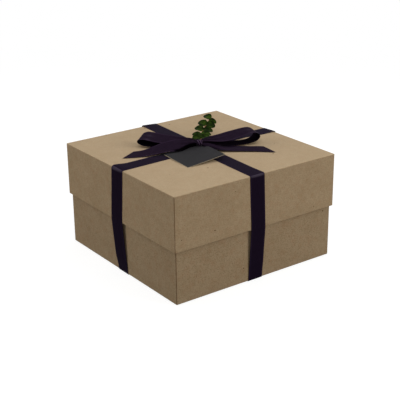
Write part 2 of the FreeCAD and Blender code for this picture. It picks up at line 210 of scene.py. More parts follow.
# How much of a tail's width curls under beside the knot, and distances from the knot's middle
# between which the curl dies out and between which its fold line moves out towards the edge
TAIL_CURLS = {"bow_left_tail": 5 * MM, "bow_right_tail": 1.5 * MM}
CURL_ENDS = (12 * MM, 44 * MM)
FOLD_LINE_ENDS = (4 * MM, 32 * MM)
# How far a loose ribbon bulges along its middle. A pleat's painted highlight begins, and then is
# full, where its crest is this high, and its painted shade grows in the same way where its valley is
# this deep.
BOW_CROWN = 0.15 * MM
CREST_HEIGHTS = (0.35 * MM, 0.9 * MM)
VALLEY_DEPTHS = (0.1 * MM, 0.8 * MM)
# In stations: how far a ribbon runs on into the knot, how far one edge of a tail's slanted end
# leads, where a loop turns back, and how far its painted sheen spreads from there
KNOT_OVERRUN = 0.25
TAIL_SLANT = 0.75
LOOP_BEND_PLACE = 4.6
LOOP_BEND_SPREAD = 0.45
# How many rows of points each piece has along it, and how many points go round a tube
LOOP_ROWS = 150
TAIL_ROWS = 90
KNOT_ROWS = 64
TIE_ROWS = 16
STEM_ROWS = 90
LEAF_ROWS = 31
LEAF_COLUMNS = 17
KNOT_ROUND = 72
STEM_ROUND = 14

# Sprig: stem stations (along, aside, height) as shares of stem length and knot height
STEM_LENGTH = 84 * MM
SPRIG_HEADING = 44.0
STEM_STATIONS = [
    (0.02, 0.00, 1.07),
    (0.13, 0.00, 1.14),
    (0.31, 0.02, 1.21),
    (0.50, 0.03, 1.33),
    (0.79, 0.01, 1.62),
    (1.00, -0.02, 1.90),
]
LEAF_THICKNESS = 0.35 * MM
LEAF_OVERLAP = 0.9 * MM
# A leaf's arch as a share of its length, its cupping and its rim's waves as shares of its width,
# and its midrib
LEAF_ARCH = 0.07
LEAF_CUP = 0.11
LEAF_WAVE = 0.025
MIDRIB_HALF_WIDTH = 0.45 * MM
MIDRIB_DEPTH = 0.16 * MM
# Each leaf: share of the stem's length, side of the stem, then in degrees its turn from the stem,
# lift and roll towards the front, and its length and width in millimetres
LEAVES = [
    (0.12, 1, 96, 10, 26, 12.5, 10.5),
    (0.15, -1, 74, 6, 22, 12.5, 9.5),
    (0.27, 1, 92, 4, 14, 13.5, 10.0),
    (0.33, -1, 80, -8, 12, 13.5, 11.0),
    (0.49, 1, 76, 8, 18, 13.0, 11.0),
    (0.50, -1, 78, -10, 16, 14.0, 11.0),
    (0.69, 1, 68, 10, 22, 13.0, 12.5),
    (0.71, -1, 70, -14, 24, 13.5, 12.0),
    (0.93, 1, 60, 8, 14, 12.5, 11.0),
    (0.89, -1, 66, -30, 24, 11.5, 7.5),
]

# Tag: its hole's distance from the two sides that meet beside the knot, its turn in degrees,
# and its gaps below the knot and over the ribbon
TAG_HOLE_INSETS = np.array([7.0, 8.0]) * MM
TAG_HOLE_RADIUS = 2.4 * MM
TAG_CHAMFER = 0.12 * MM
TAG_SIDE_STEPS = 40
TAG_TURN = -3.0
TAG_KNOT_GAP = 0.75 * MM
TAG_RIBBON_GAP = 0.1 * MM

# Inner papers: share of specks, material slot, the nodes they finish, and their colours on
# screen: light, dark, specks, folds and patches
INNER_PAPERS = {
    "greyboard": (0.1, "greyboard", ["board"], (
        (150, 141, 127), (134, 125, 112), (96, 88, 78), (128, 120, 108), (138, 132, 122),
    )),
    "lining": (0.01, "lining_paper", ["lining"], (
        (198, 182, 154), (186, 169, 140), (150, 128, 98), (176, 158, 130), (190, 172, 146),
    )),
    "stay tape": (0.01, "stay_tape", [f"corner_stay_{number}" for number in range(1, 5)], (
        (190, 162, 122), (174, 146, 106), (150, 122, 84), (170, 142, 104), (180, 150, 112),
    )),
}
# Width of the bands at a shell's upright folds, which are browner, and at its rim and closed face,
# which carry a painted highlight
EDGE_BAND = 1.2 * MM

# Lamps: name, place, size in metres, power in watts and tint; all face one point in the box
WARM = (1.0, 0.975, 0.9)
COOL = (0.95, 0.98, 1.0)
LAMPS = (
    ("left lamp", (-1.55, 1.25, 0.85), 1.2, 21.0, WARM),
    ("right lamp", (1.25, -1.55, 0.85), 1.2, 27.0, WARM),
    ("front lamp", (-1.0, -1.4, 1.1), 1.5, 6.0, WARM),
    ("top lamp", (0.0, 0.0, 1.7), 2.4, 22.0, COOL),
)
LAMP_TARGET = (0, 0, 0.07)


def screen_colour(red, green, blue):
    """The linear colour that shows on screen as these 0 to 255 values."""
    share = np.array([red, green, blue]) / 255
    return tuple(np.where(share > 0.04045, ((share + 0.055) / 1.055) ** 2.4, share / 12.92))


def shaded(colour, factor):
    """A colour made darker or lighter by a factor, none of its channels over 1."""
    return tuple(min(1.0, channel * factor) for channel in colour)


def colour_property(name, description, default):
    return FloatVectorProperty(
        name=name, description=description, subtype="COLOR", size=3, min=0, max=1, default=default
    )


def number_property(name, description, default):
    return FloatProperty(name=name, description=description, default=default)


def length_property(name, description, default):
    return FloatProperty(name=name, description=description, default=default, unit="LENGTH")


class PaperLook(bpy.types.PropertyGroup):
    """Colours and grain of the kraft paper."""

    kraft: colour_property("Kraft", "Colour of the wrapping paper", screen_colour(169, 148, 121))
    kraft_dark: colour_property("Kraft shade", "Darker mottling", screen_colour(148, 126, 98))
    blush: colour_property("Blush", "Redder patches of the paper", screen_colour(158, 118, 88))
    speck: colour_property("Speck", "Bark specks in the paper", screen_colour(92, 70, 48))
    fold: colour_property("Fold", "Worn folds at the corners", screen_colour(112, 80, 52))
    # Painted shade: how much darker the base's copy of the lid's paper is
    painted_base_shade: number_property("Base shade", "Brightness of the base's paper beside the lid's", 0.9)
    grain: length_property("Grain", "Depth of the paper's grain", 0.06 * MM)


class RibbonLook(bpy.types.PropertyGroup):
    """Colours and folds of the satin ribbon, and the painted shade and sheen on it."""

    satin: colour_property("Satin", "Colour of the ribbon", screen_colour(28, 19, 31))
    satin_light: colour_property("Satin light", "Its lighter floats", screen_colour(40, 29, 44))
    reverse: colour_property("Reverse", "Dull reverse of the ribbon", screen_colour(10, 7, 11))
    # Painted shade: how much darker the satin's copy for the ribbon round the box is
    painted_taut_shade: number_property("Taut shade", "Brightness where it is pulled flat", 0.74)
    pleats: number_property("Pleats", "Folds across the gathered ribbon", 2.5)
    pleat_depth: length_property("Pleat depth", "Deepest fold beside the knot", 1.0 * MM)
    full_curl: length_property(
        "Full curl", "Curled width from which an edge turns right under", 5 * MM
    )
    # Painted highlight on the pleats' crests beside the knot
    painted_crest_sheen: number_property("Crest shine", "Sheen on the folds beside the knot", 0.14)
    # Painted highlight where a loop turns back
    painted_bend_sheen: number_property("Bend shine", "Sheen where a loop turns back", 0.2)
    # Painted light: how much lighter the satin's copy for the knot is
    painted_knot_light: number_property("Knot light", "Brightness of the knot beside the ribbons", 2.6)
    curl_turn: FloatProperty(
        name="Curl", description="Turn of the front edge beside the knot", default=1.5, unit="ROTATION"
    )


class TagLook(bpy.types.PropertyGroup):
    """The blank card tag."""

    card: colour_property("Card", "Colour of the card", screen_colour(47, 46, 48))
    core: colour_property("Core", "Colour of the cut edge", screen_colour(148, 134, 112))
    side: length_property("Side", "Length of the card's side", 56.5 * MM)
    thickness: length_property("Thickness", "Thickness of the card", 0.5 * MM)
    curl: length_property("Curl", "Lift of the card's corners", 0.8 * MM)


class SprigLook(bpy.types.PropertyGroup):
    """The eucalyptus sprig."""

    leaf: colour_property("Leaf", "Upper side of a leaf", screen_colour(50, 70, 17))
    # Also the colour of the painted shade towards a leaf's tip and rim
    leaf_dark: colour_property("Leaf shade", "Darker parts of a leaf", screen_colour(14, 26, 4))
    vein: colour_property("Veins", "Midrib and side veins of a leaf", screen_colour(58, 72, 26))
    stem: colour_property("Stem", "Colour of the stem", screen_colour(118, 78, 54))
    root_radius: length_property("Root radius", "Radius of the stem in the knot", 1.1 * MM)
    tip_radius: length_property("Tip radius", "Radius of the stem's tip", 0.5 * MM)


class StageLook(bpy.types.PropertyGroup):
    """Camera, even light and floor."""

    camera_place: FloatVectorProperty(
        name="Camera place", description="Where the camera stands", subtype="TRANSLATION",
        default=(-0.71868, -0.99176, 0.54950),
    )
    camera_turn: FloatVectorProperty(
        name="Camera turn", description="The camera's rotation", subtype="EULER",
        default=tuple(math.radians(angle) for angle in (68.566, 0.5434, -36.238)),
    )
    lens: number_property("Lens", "Focal length in millimetres", 89.138)
    world_light: number_property("World light", "Strength of the even light", 0.02)
    floor_size: length_property("Floor size", "Side of the floor", 12.0)


PROPERTY_GROUPS = {
    "paper_look": PaperLook,
    "ribbon_look": RibbonLook,
    "tag_look": TagLook,
    "sprig_look": SprigLook,
    "stage_look": StageLook,
}


# Curves and surfaces


def spline(values, places):
    """Natural cubic spline through values at 0, 1, 2 and so on, read at any array of places."""
    values = np.asarray(values, float)
    count = len(values)
    inner = np.arange(1, count - 1)
    system = np.eye(count)
    system[inner, inner - 1] = 1
    system[inner, inner] = 4
    system[inner, inner + 1] = 1
    right = np.zeros_like(values)
    right[1:-1] = 6 * (values[2:] - 2 * values[1:-1] + values[:-2])
    second = np.linalg.solve(system, right)
    low = np.clip(np.floor(places).astype(int), 0, count - 2)
    step = (places - low)[..., None]
    slope = values[low + 1] - values[low] - (2 * second[low] + second[low + 1]) / 6
    bend = second[low] / 2 * step**2 + (second[low + 1] - second[low]) / 6 * step**3
    return values[low] + slope * step + bend


def smooth_step(value, low, high):
    """0 below low, 1 above high, and a smooth S between."""
    share = np.clip((value - low) / (high - low), 0, 1)
    return share * share * (3 - 2 * share)


def unit(vectors):
    """Vectors of an array scaled to length one."""
    return vectors / np.linalg.norm(vectors, axis=-1, keepdims=True)


def heading_frame(heading, back_sign):
    """The direction of a heading and the level direction beside it."""
    angle = math.radians(heading)
    run = np.array([math.cos(angle), math.sin(angle), 0])
    side = np.array([-math.sin(angle), math.cos(angle), 0]) * back_sign
    return run, side


def rounded_path(corners, radii, spacing):
    """A closed polygon with rounded corners as points: straight runs divided evenly, and arcs
    of a circle at each corner."""
    corners = np.asarray(corners, float)
    before = unit(np.roll(corners, 1, axis=0) - corners)
    after = unit(np.roll(corners, -1, axis=0) - corners)
    half_angle = np.arccos((before * after).sum(1)) / 2
    radii = np.asarray(radii, float)
    reach = radii / np.tan(half_angle)
    centres = corners + unit(before + after) * (radii / np.sin(half_angle))[:, None]
    pieces = []
    for index in range(len(corners)):
        start = corners[index] + before[index] * reach[index]
        end = corners[index] + after[index] * reach[index]
        first = math.atan2(*(start - centres[index])[::-1])
        turn = math.atan2(*(end - centres[index])[::-1]) - first
        turn = (turn + math.pi) % (2 * math.pi) - math.pi
        angles = first + turn * np.linspace(0, 1, 10)
        arc = centres[index] + radii[index] * np.stack([np.cos(angles), np.sin(angles)], 1)
        following = (index + 1) % len(corners)
        goal = corners[following] + before[following] * reach[following]
        count = max(2, int(np.linalg.norm(goal - end) / spacing))
        share = np.linspace(0, 1, count + 1)[1:-1, None]
        pieces += [arc, end + (goal - end) * share]
    return np.concatenate(pieces)


def surface_piece(name, points, uv, material, wrap=(False, False), caps=False, shade=None):
    """A mesh object from a grid of points. wrap closes it along rows or columns, caps closes the
    two ends of a tube whose columns go round, and its faces are turned to look outwards. shade
    gives painted shade, from 0 to 1 where a point lies deep in a fold, and a painted highlight,
    from 0 to -1 where it shines on a bend, and is kept as an attribute of that name."""
    rows, columns = points.shape[:2]
    grid = np.arange(rows * columns).reshape(rows, columns)
    if wrap[0]:
        grid = np.vstack([grid, grid[:1]])
    if wrap[1]:
        grid = np.hstack([grid, grid[:, :1]])

    def corners(values):
        return np.stack([values[:-1, :-1], values[:-1, 1:], values[1:, 1:], values[1:, :-1]], 2)

    quads = corners(grid).reshape(-1, 4)
    flat_uv = corners(uv[: grid.shape[0], : grid.shape[1]]).reshape(-1, 4, 2)
    if caps:
        half = columns // 2
        near = np.arange(half - 1)
        far = columns - 1 - near
        for row, order in ((0, [0, 3, 2, 1]), (rows - 1, [0, 1, 2, 3])):
            cap = np.stack([near, near + 1, far - 1, far], 1)[:, order]
            quads = np.vstack([quads, row * columns + cap])
            flat_uv = np.vstack([flat_uv, uv[row, cap]])
    vertices = points.reshape(-1, 3)
    a, b, c, d = (vertices[quads[:, i]] for i in range(4))
    volume = (a * np.cross(b, c)).sum() + (a * np.cross(c, d)).sum()
    if volume < 0:
        quads = quads[:, ::-1]
        flat_uv = flat_uv[:, ::-1]
    mesh = bpy.data.meshes.new(name)
    mesh.from_pydata(vertices.tolist(), [], quads.tolist())
    layer = mesh.uv_layers.new(name="UVMap")
    layer.data.foreach_set("uv", flat_uv.astype(np.float32).ravel())
    mesh.polygons.foreach_set("use_smooth", np.ones(len(quads), bool))
    mesh.set_sharp_from_angle(angle=math.radians(50))
    mesh.materials.append(material)
    if shade is not None:
        depth = mesh.attributes.new("shade", "FLOAT", "POINT")
        depth.data.foreach_set("value", shade.astype(np.float32).ravel())
    piece = bpy.data.objects.new(name, mesh)
    bpy.context.scene.collection.objects.link(piece)
    return piece


def ribbon_columns():
    """Places across a ribbon from -1 to 1, closer together at the woven edges."""
    even = np.linspace(-1, 1, RIBBON_COLUMNS)
    return np.sin(even * math.pi / 2) * 0.35 + even * 0.65


def ribbon_piece(name, middle, along_uv, outer_sign, shade, closed=False):
    """A woven ribbon with its thickness from the surface through its middle: that surface moved
    both ways along its own normal, with a bead along each edge that then thins away. The side that
    outer_sign picks is the bright face; the other is the dull reverse."""
    columns = ribbon_columns()
    edge = 1 - np.abs(columns)
    swell = 0.2 * np.exp(-(((edge - 0.07) / 0.05) ** 2))
    thinning = 0.6 * np.exp(-((edge / 0.025) ** 2))
    bead = 1 + swell - thinning
    if closed:
        padded = np.concatenate([middle[-1:], middle, middle[:1]])
        forward = padded[2:] - padded[:-2]
    else:
        forward = np.gradient(middle, axis=0)
    normal = unit(np.cross(forward, np.gradient(middle, axis=1)))
    half = (RIBBON_THICKNESS / 2 * bead)[None, :, None] * normal * outer_sign
    points = np.concatenate([middle + half, (middle - half)[:, ::-1]], axis=1)
    across_uv = np.concatenate([columns, columns[::-1], columns[:1]])
    rows = points.shape[0] + int(closed)
    uv = np.zeros((rows, len(across_uv), 2))
    uv[..., 0] = across_uv
    uv[..., 1] = along_uv[:rows, None]
    face = bpy.data.materials["satin taut" if closed else "satin"]
    reverse = bpy.data.materials["satin reverse"]
    shade = np.concatenate([shade, shade[:, ::-1]], axis=1)
    piece = surface_piece(name, points, uv, face, wrap=(closed, True), caps=not closed, shade=shade)
    piece.data.materials.append(reverse)
    column = np.arange(len(piece.data.polygons)) % points.shape[1]
    piece.data.polygons.foreach_set("material_index", (column >= RIBBON_COLUMNS).astype(np.int32))
    return piece


# Shader helpers


def set_inputs(tree, made, inputs):
    """Gives a node its inputs, each a plain value or another node's output."""
    for key, value in inputs.items():
        if isinstance(value, bpy.types.NodeSocket):
            tree.links.new(value, made.inputs[key])
        else:
            made.inputs[key].default_value = value
    return made


def node(tree, kind, inputs=None, **settings):
    """Adds a node with its inputs and settings."""
    made = tree.nodes.new("ShaderNode" + kind)
    for key, value in settings.items():
        setattr(made, key, value)
    return set_inputs(tree, made, inputs or {})


def math_node(tree, operation, first, second=0.0):
    return node(tree, "Math", {0: first, 1: second}, operation=operation).outputs[0]


def product(tree, first, second):
    return math_node(tree, "MULTIPLY", first, second)


def mix_colour(tree, factor, first, second):
    """Blends two colours; a plain colour is given as three numbers."""
    values = [v if isinstance(v, bpy.types.NodeSocket) else (*v, 1.0) for v in (first, second)]
    made = node(tree, "Mix", {0: factor, 6: values[0], 7: values[1]}, data_type="RGBA")
    return made.outputs[2]


def mapped(tree, value, low, high, to_low=0.0, to_high=1.0):
    """Smoothly maps a value's range to another."""
    inputs = {"Value": value, "From Min": low, "From Max": high, "To Min": to_low, "To Max": to_high}
    return node(tree, "MapRange", inputs, interpolation_type="SMOOTHSTEP").outputs[0]


def noise(tree, vector, scale, detail=3.0, roughness=0.55):
    inputs = {"Vector": vector, "Scale": scale, "Detail": detail, "Roughness": roughness}
    return node(tree, "TexNoise", inputs).outputs[0]


def stretched(tree, vector, scale):
    """Coordinates scaled along each axis, which draws a pattern out or shrinks it."""
    return node(tree, "Mapping", {"Vector": vector, "Scale": scale}).outputs[0]


def new_group(name, inputs, outputs):
    """An empty node group with named sockets, and its input and output nodes."""
    tree = bpy.data.node_groups.new(name, "ShaderNodeTree")
    for socket, kind in inputs:
        tree.interface.new_socket(socket, in_out="INPUT", socket_type="NodeSocket" + kind)
    for socket, kind in outputs:
        tree.interface.new_socket(socket, in_out="OUTPUT", socket_type="NodeSocket" + kind)
    return tree, tree.nodes.new("NodeGroupInput"), tree.nodes.new("NodeGroupOutput")


def use_group(tree, name, inputs):
    """Places a node group in a material with its own values."""
    made = tree.nodes.new("ShaderNodeGroup")
    made.node_tree = bpy.data.node_groups[name]
    return set_inputs(tree, made, inputs)


def finished_material(material, colour, roughness, height, bump, **settings):
    """Joins a material's colour, roughness and height to its shader; bump is the height's depth
    in metres, and extra settings go on the shader's own sockets."""
    tree = material.node_tree
    shader = tree.nodes["Principled BSDF"]
    bumped = node(tree, "Bump", {"Height": height, "Strength": 1.0, "Distance": bump})
    inputs = {"Base Color": colour, "Roughness": roughness, "Normal": bumped.outputs[0]}
    set_inputs(tree, shader, inputs)
    for key, value in settings.items():
        shader.inputs[key.replace("_", " ")].default_value = value
    return material


def started_material(name):
    """A new material with nothing but its shader and output, and its node tree."""
    material = bpy.data.materials.new(name)
    material.use_nodes = True
    return material, material.node_tree


def object_coordinates(tree):
    return node(tree, "TexCoord").outputs["Object"]


def fibre_group():
    """Paper fibres: broad mottling, fine grain, short fibres lying in all directions and sparse
    bark specks, from noise and cells on solid coordinates in metres."""
    tree, given, result = new_group(
        "Paper fibres",
        [("Vector", "Vector"), ("Speck Amount", "Float")],
        [("Mottle", "Float"), ("Fibre", "Float"), ("Speck", "Float"), ("Height", "Float")],
    )
    vector = given.outputs["Vector"]
    mottle = mapped(tree, noise(tree, vector, 45.0, 5.0, 0.62), 0.3, 0.7)
    grain = noise(tree, vector, 900.0, 3.0, 0.7)
    fibres = []
    for scale in ((420, 2600, 2600), (2600, 420, 2600), (1900, 1900, 380)):
        streak = noise(tree, stretched(tree, vector, scale), 1.0, 2.0, 0.5)
        fibres.append(mapped(tree, streak, 0.58, 0.72))
    fibre = math_node(tree, "MAXIMUM", math_node(tree, "MAXIMUM", fibres[0], fibres[1]), fibres[2])
    cells = node(tree, "TexVoronoi", {"Vector": vector, "Scale": 62.0, "Randomness": 1.0})
    chance = node(tree, "SeparateColor", {0: cells.outputs["Color"]}).outputs[0]
    limit = math_node(tree, "SUBTRACT", 1.0, given.outputs["Speck Amount"])
    chosen = math_node(tree, "GREATER_THAN", chance, limit)
    wobble = product(tree, noise(tree, vector, 1400.0, 2.0), 0.05)
    distance = math_node(tree, "ADD", cells.outputs["Distance"], wobble)
    near = mapped(tree, distance, 0.08, 0.115, 1.0, 0.0)
    speck = product(tree, near, chosen)
    height = math_node(tree, "ADD", product(tree, fibre, 0.5), grain)
    set_inputs(tree, result, {"Mottle": mottle, "Fibre": fibre, "Speck": speck, "Height": height})


def box_edge_group():
    """How near a point is to the upright edges, to the rim's level and to the closed face's level
    of a square box that stands about the Z axis: 1 there, and 0 beyond the stated band."""
    tree, given, result = new_group(
        "Box edges",
        [("Vector", "Vector"), ("Half", "Float"), ("Rim", "Float"), ("Closed Face", "Float"),
         ("Band", "Float")],
        [("Upright", "Float"), ("Rim Edge", "Float"), ("Face Edge", "Float")],
    )
    place = node(tree, "SeparateXYZ", {0: given.outputs["Vector"]})
    x = math_node(tree, "ABSOLUTE", place.outputs[0])
    y = math_node(tree, "ABSOLUTE", place.outputs[1])
    nearest = math_node(tree, "MINIMUM", x, y)
    from_corner = math_node(tree, "SUBTRACT", given.outputs["Half"], nearest)
    distances = {"Upright": from_corner}
    for socket, level in (("Rim Edge", "Rim"), ("Face Edge", "Closed Face")):
        above = math_node(tree, "SUBTRACT", place.outputs[2], given.outputs[level])
        distances[socket] = math_node(tree, "ABSOLUTE", above)
    for socket, distance in distances.items():
        share = math_node(tree, "DIVIDE", distance, given.outputs["Band"])
        tree.links.new(mapped(tree, share, 0.0, 1.0, 1.0, 0.0), result.inputs[socket])


def weave_group():
    """Satin weave from a ribbon's own coordinates: across from -1 to 1 and along in metres.
    Long floats run along it, fine picks cross it, and a tighter selvedge lies at each edge."""
    tree, given, result = new_group(
        "Satin weave",
        [("Vector", "Vector")],
        [("Float Streak", "Float"), ("Selvedge", "Float"), ("Height", "Float")],
    )
    vector = given.outputs["Vector"]
    place = node(tree, "SeparateXYZ", {0: vector})
    across = math_node(tree, "ABSOLUTE", place.outputs[0])
    inside = mapped(tree, across, 0.84, 0.88)
    selvedge = product(tree, inside, mapped(tree, across, 0.9, 0.96, 1.0, 0.0))
    streak = noise(tree, stretched(tree, vector, (70, 130, 1)), 1.0, 3.0, 0.6)
    floats = noise(tree, stretched(tree, vector, (140, 900, 1)), 1.0, 2.0, 0.5)
    turn = product(tree, place.outputs[1], 2 * math.pi / PICK_SPACING)
    picks = math_node(tree, "SINE", turn)
    picks = product(tree, picks, mapped(tree, across, 0.88, 0.92, 0.1, 0.6))
    height = math_node(tree, "ADD", floats, picks)
    set_inputs(tree, result, {"Float Streak": streak, "Selvedge": selvedge, "Height": height})


def paper_material(name, colours, half, rim, closed_face, specks, grain, wear_and_highlight):
    """Matt paper over board: mottled, fibrous and specked, browner along its upright folds, and with
    a painted highlight that makes its closed face and a band round it paler, and its rim a little
    paler. A paper with many specks has fine flecks too."""
    material, tree = started_material(name)
    light, dark, speck_colour, fold_colour, blush_colour = colours
    vector = object_coordinates(tree)
    fibres = use_group(tree, "Paper fibres", {"Vector": vector, "Speck Amount": specks})
    edges = use_group(
        tree, "Box edges",
        {"Vector": vector, "Half": half, "Rim": rim, "Closed Face": closed_face, "Band": EDGE_BAND},
    )
    blotch = mapped(tree, noise(tree, vector, 210.0, 3.0, 0.6), 0.38, 0.66)
    mottle = product(tree, fibres.outputs["Mottle"], 0.3)
    mottle = math_node(tree, "ADD", mottle, product(tree, blotch, 0.38))
    colour = mix_colour(tree, mottle, light, dark)
    blush = mapped(tree, noise(tree, vector, 120.0, 4.0, 0.6), 0.45, 0.68, 0.0, 0.28)
    colour = mix_colour(tree, blush, colour, blush_colour)
    pale = shaded(light, 1.28)
    colour = mix_colour(tree, product(tree, fibres.outputs["Fibre"], 0.4), colour, pale)
    pores = mapped(tree, noise(tree, vector, 640.0, 4.0, 0.75), 0.44, 0.68, 0.0, 0.9)
    colour = mix_colour(tree, pores, colour, shaded(dark, 0.86))
    finer = use_group(
        tree, "Paper fibres",
        {"Vector": stretched(tree, vector, (2.7, 2.7, 2.7)),
         "Speck Amount": 0.45 if specks > 0.2 else 0.0},
    )
    fleck = product(tree, finer.outputs["Speck"], 0.45)
    colour = mix_colour(tree, fleck, colour, speck_colour)
    upright = product(tree, edges.outputs["Upright"], wear_and_highlight)
    colour = mix_colour(tree, upright, colour, fold_colour)
    # Painted highlight: paler on the closed face and in a band round it, and a little paler along the
    # rim
    painted_edge_highlight = product(tree, edges.outputs["Rim Edge"], 0.2)
    painted_edge_highlight = math_node(tree, "MAXIMUM", painted_edge_highlight, edges.outputs["Face Edge"])
    colour = mix_colour(tree, product(tree, painted_edge_highlight, 0.7 * wear_and_highlight), colour, pale)
    colour = mix_colour(tree, fibres.outputs["Speck"], colour, speck_colour)
    roughness = mapped(tree, fibres.outputs["Mottle"], 0.0, 1.0, 0.78, 0.9)
    return finished_material(
        material, colour, roughness, fibres.outputs["Height"], grain, Specular_IOR_Level=0.12
    )


def satin_material(name, dark, light, gloss):
    """Dark satin with soft streaks and a tight selvedge, painted lighter as a highlight line. The
    shade attribute paints shade, near black, deep in its folds and a painted highlight on its bends."""
    material, tree = started_material(name)
    vector = node(tree, "UVMap", uv_map="UVMap").outputs[0]
    weave = use_group(tree, "Satin weave", {"Vector": vector})
    streak = mapped(tree, weave.outputs["Float Streak"], 0.35, 0.7)
    colour = mix_colour(tree, streak, dark, light)
    # The tighter selvedge is painted lighter: a painted highlight line along each edge
    selvedge = product(tree, weave.outputs["Selvedge"], 0.6)
    colour = mix_colour(tree, selvedge, colour, shaded(light, 2.2))
    # The shade attribute: painted shade towards near black from 0 to 1, and a painted highlight from 0
    # to -1
    fold = node(tree, "Attribute", attribute_name="shade").outputs["Fac"]
    colour = mix_colour(tree, mapped(tree, fold, 0.0, 1.0), colour, shaded(dark, 0.08))
    # Colour of the painted highlight
    painted_highlight = tuple(channel * 2 + 0.03 for channel in light)
    colour = mix_colour(tree, mapped(tree, fold, 0.0, -1.0), colour, painted_highlight)
    roughness = mapped(tree, weave.outputs["Float Streak"], 0.3, 0.7, 0.36, 0.46)
    tangent = node(tree, "Tangent", direction_type="UV_MAP", uv_map="UVMap").outputs[0]
    finished_material(
        material, colour, roughness, weave.outputs["Height"], 0.02 * MM,
        Specular_IOR_Level=gloss, Anisotropic=0.4,
    )
    tree.links.new(tangent, tree.nodes["Principled BSDF"].inputs["Tangent"])
    return material


def dress_node(name, material):
    """Gives a carried-over CAD node its material in place of the ones it had."""
    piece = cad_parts[name]
    piece.data.materials.clear()
    piece.data.materials.append(material)


# Operators


class GIFTBOX_OT_paper(bpy.types.Operator):
    """Covers both shells in kraft paper and finishes their boards, stays and lining"""

    bl_idname = "giftbox.paper"
    bl_label = "Cover the shells"

    def execute(self, context):
        look = context.scene.paper_look
        fibre_group()
        box_edge_group()
        colours = (look.kraft, look.kraft_dark, look.speck, look.fold, look.blush)
        shells = {
            "lid": (LID_HALF, LID_RIM, LID_TOP),
            "base": (BASE_HALF, BASE_HIGH.z, BASE_BOTTOM),
        }
        for shell, places in shells.items():
            # The base's paper is a darker copy of the lid's: painted shade for the dimmer light on the
            # base
            shade = 1.0 if shell == "lid" else look.painted_base_shade
            tones = [shaded(colour, shade) for colour in colours]
            wrap = paper_material(shell + " kraft", tones, *places, 0.4, look.grain, 0.8)
            dress_node(shell + "_wrap_paper", wrap)
            for finish, (specks, slot, nodes, inner_colours) in INNER_PAPERS.items():
                tones = [screen_colour(*colour) for colour in inner_colours]
                paper = paper_material(f"{shell} {finish}", tones, *places, specks, look.grain, 0.0)
                for name in nodes:
                    dress_node(f"{shell}_{name}", paper)
        return {"FINISHED"}


def band_middle(run, side, offsets, crossing, twists, ripple):
    """The middle surface of a ribbon tied right round the box. Its path is a rounded polygon
    round the box's outline, shifted sideways by offsets at the polygon's corners. Each point then
    moves out by a lift: edges that stand off the sides by twists, sine ripples, and steps where
    the ribbon along X crosses over the other. That ribbon's right arm on the lid is narrowed and
    bent towards the knot. Returns the points, the length along the path and each point's painted
    highlight, which lies on the two bends at the lid's edges."""
    upper = side is Y_RUN
    middle = RIBBON_GAP + RIBBON_THICKNESS / 2
    foot = BASE_HALF + middle
    wall = LID_HALF + middle
    top = LID_TOP + middle
    outline = [
        (-foot, UNDER_LEVEL), (-wall, LID_RIM), (-wall, top),
        (wall, top), (wall, LID_RIM), (foot, UNDER_LEVEL),
    ]
    path = rounded_path(outline, BAND_RADII, BAND_SPACING)
    steps = np.linalg.norm(np.diff(np.vstack([path, path[:1]]), axis=0), axis=1)
    along = np.concatenate([[0], np.cumsum(steps)])
    travel = along[:-1]
    nearest = [np.argmin(np.linalg.norm(path - np.array(corner), axis=1)) for corner in outline]
    keys = along[nearest]
    places = np.append(keys, along[-1] + keys[0])
    sideways = np.interp(travel, places, np.append(offsets, offsets[0]))
    sideways = np.where(travel < keys[0], offsets[0], sideways)
    window = np.ones(7) / 7
    ends_joined = np.concatenate([sideways[-3:], sideways, sideways[:3]])
    sideways = np.convolve(ends_joined, window, "valid")

    forward = unit(np.roll(path, -1, axis=0) - np.roll(path, 1, axis=0))
    outward = np.stack([-forward[:, 1], forward[:, 0]], 1)
    distance, height = path[:, :1], path[:, 1:]
    columns = ribbon_columns()[None, :]
    on_side = smooth_step(height, *SLACK_HEIGHTS)
    on_top = smooth_step(height, LID_TOP - 2 * MM, LID_TOP)
    under = height < 1 * MM
    lift = 0
    for end, twist in zip((-distance, distance), twists):
        share = smooth_step(end, LID_HALF - TWIST_RUN, LID_HALF) * on_side
        lift = lift + share * abs(twist) * (1 + np.sign(twist) * columns) / 2
    clear = smooth_step(np.abs(distance - crossing), *SLACK_DISTANCES)
    lift = lift + SLACK * (1 - columns**2) * on_side * clear
    quick, slow = (travel[:, None] * turns for turns in RIPPLE_TURNS)
    waves = np.sin(quick + ripple + columns) * np.sin(slow + 2 * ripple)
    lift = lift + SLACK * (1 + waves) * on_side * clear * (1 - 0.7 * on_top)
    raised = RIBBON_WIDTH / 2 + CROSSING_MARGIN
    for centre, rise, where in ((crossing, OVER_STEP, on_top), (0, -UNDER_STEP, under)):
        crossed = 1 - smooth_step(np.abs(distance - centre), raised, raised + CROSSING_RAMP)
        lift = lift + upper * crossed * rise * where

    arm = on_top * smooth_step(distance, 0, ARM_RAMP) * upper
    pinch = 1 - ARM_PINCH * arm * (1 - smooth_step(distance, *ARM_PINCH_ENDS))
    bend = ARM_BEND * arm * np.exp(-(((distance - ARM_BEND_PLACE) / ARM_BEND_SPREAD) ** 2))
    flat = distance[..., None] * run + height[..., None] * UP
    outward_3d = outward[:, :1, None] * run + outward[:, 1:, None] * UP
    across = (sideways[:, None] + bend + columns * pinch * RIBBON_WIDTH / 2)[..., None] * side
    # Painted highlight on the ribbon where it bends over the lid's edges
    edge = (np.abs(distance) > LID_HALF - PAINTED_HIGHLIGHT_REACH) & (height > LID_TOP - PAINTED_HIGHLIGHT_DROP)
    painted_highlight = -PAINTED_BEND_HIGHLIGHT * edge * (1 - 0.5 * np.abs(columns) ** 3)
    return flat + across + lift[..., None] * outward_3d, along, painted_highlight


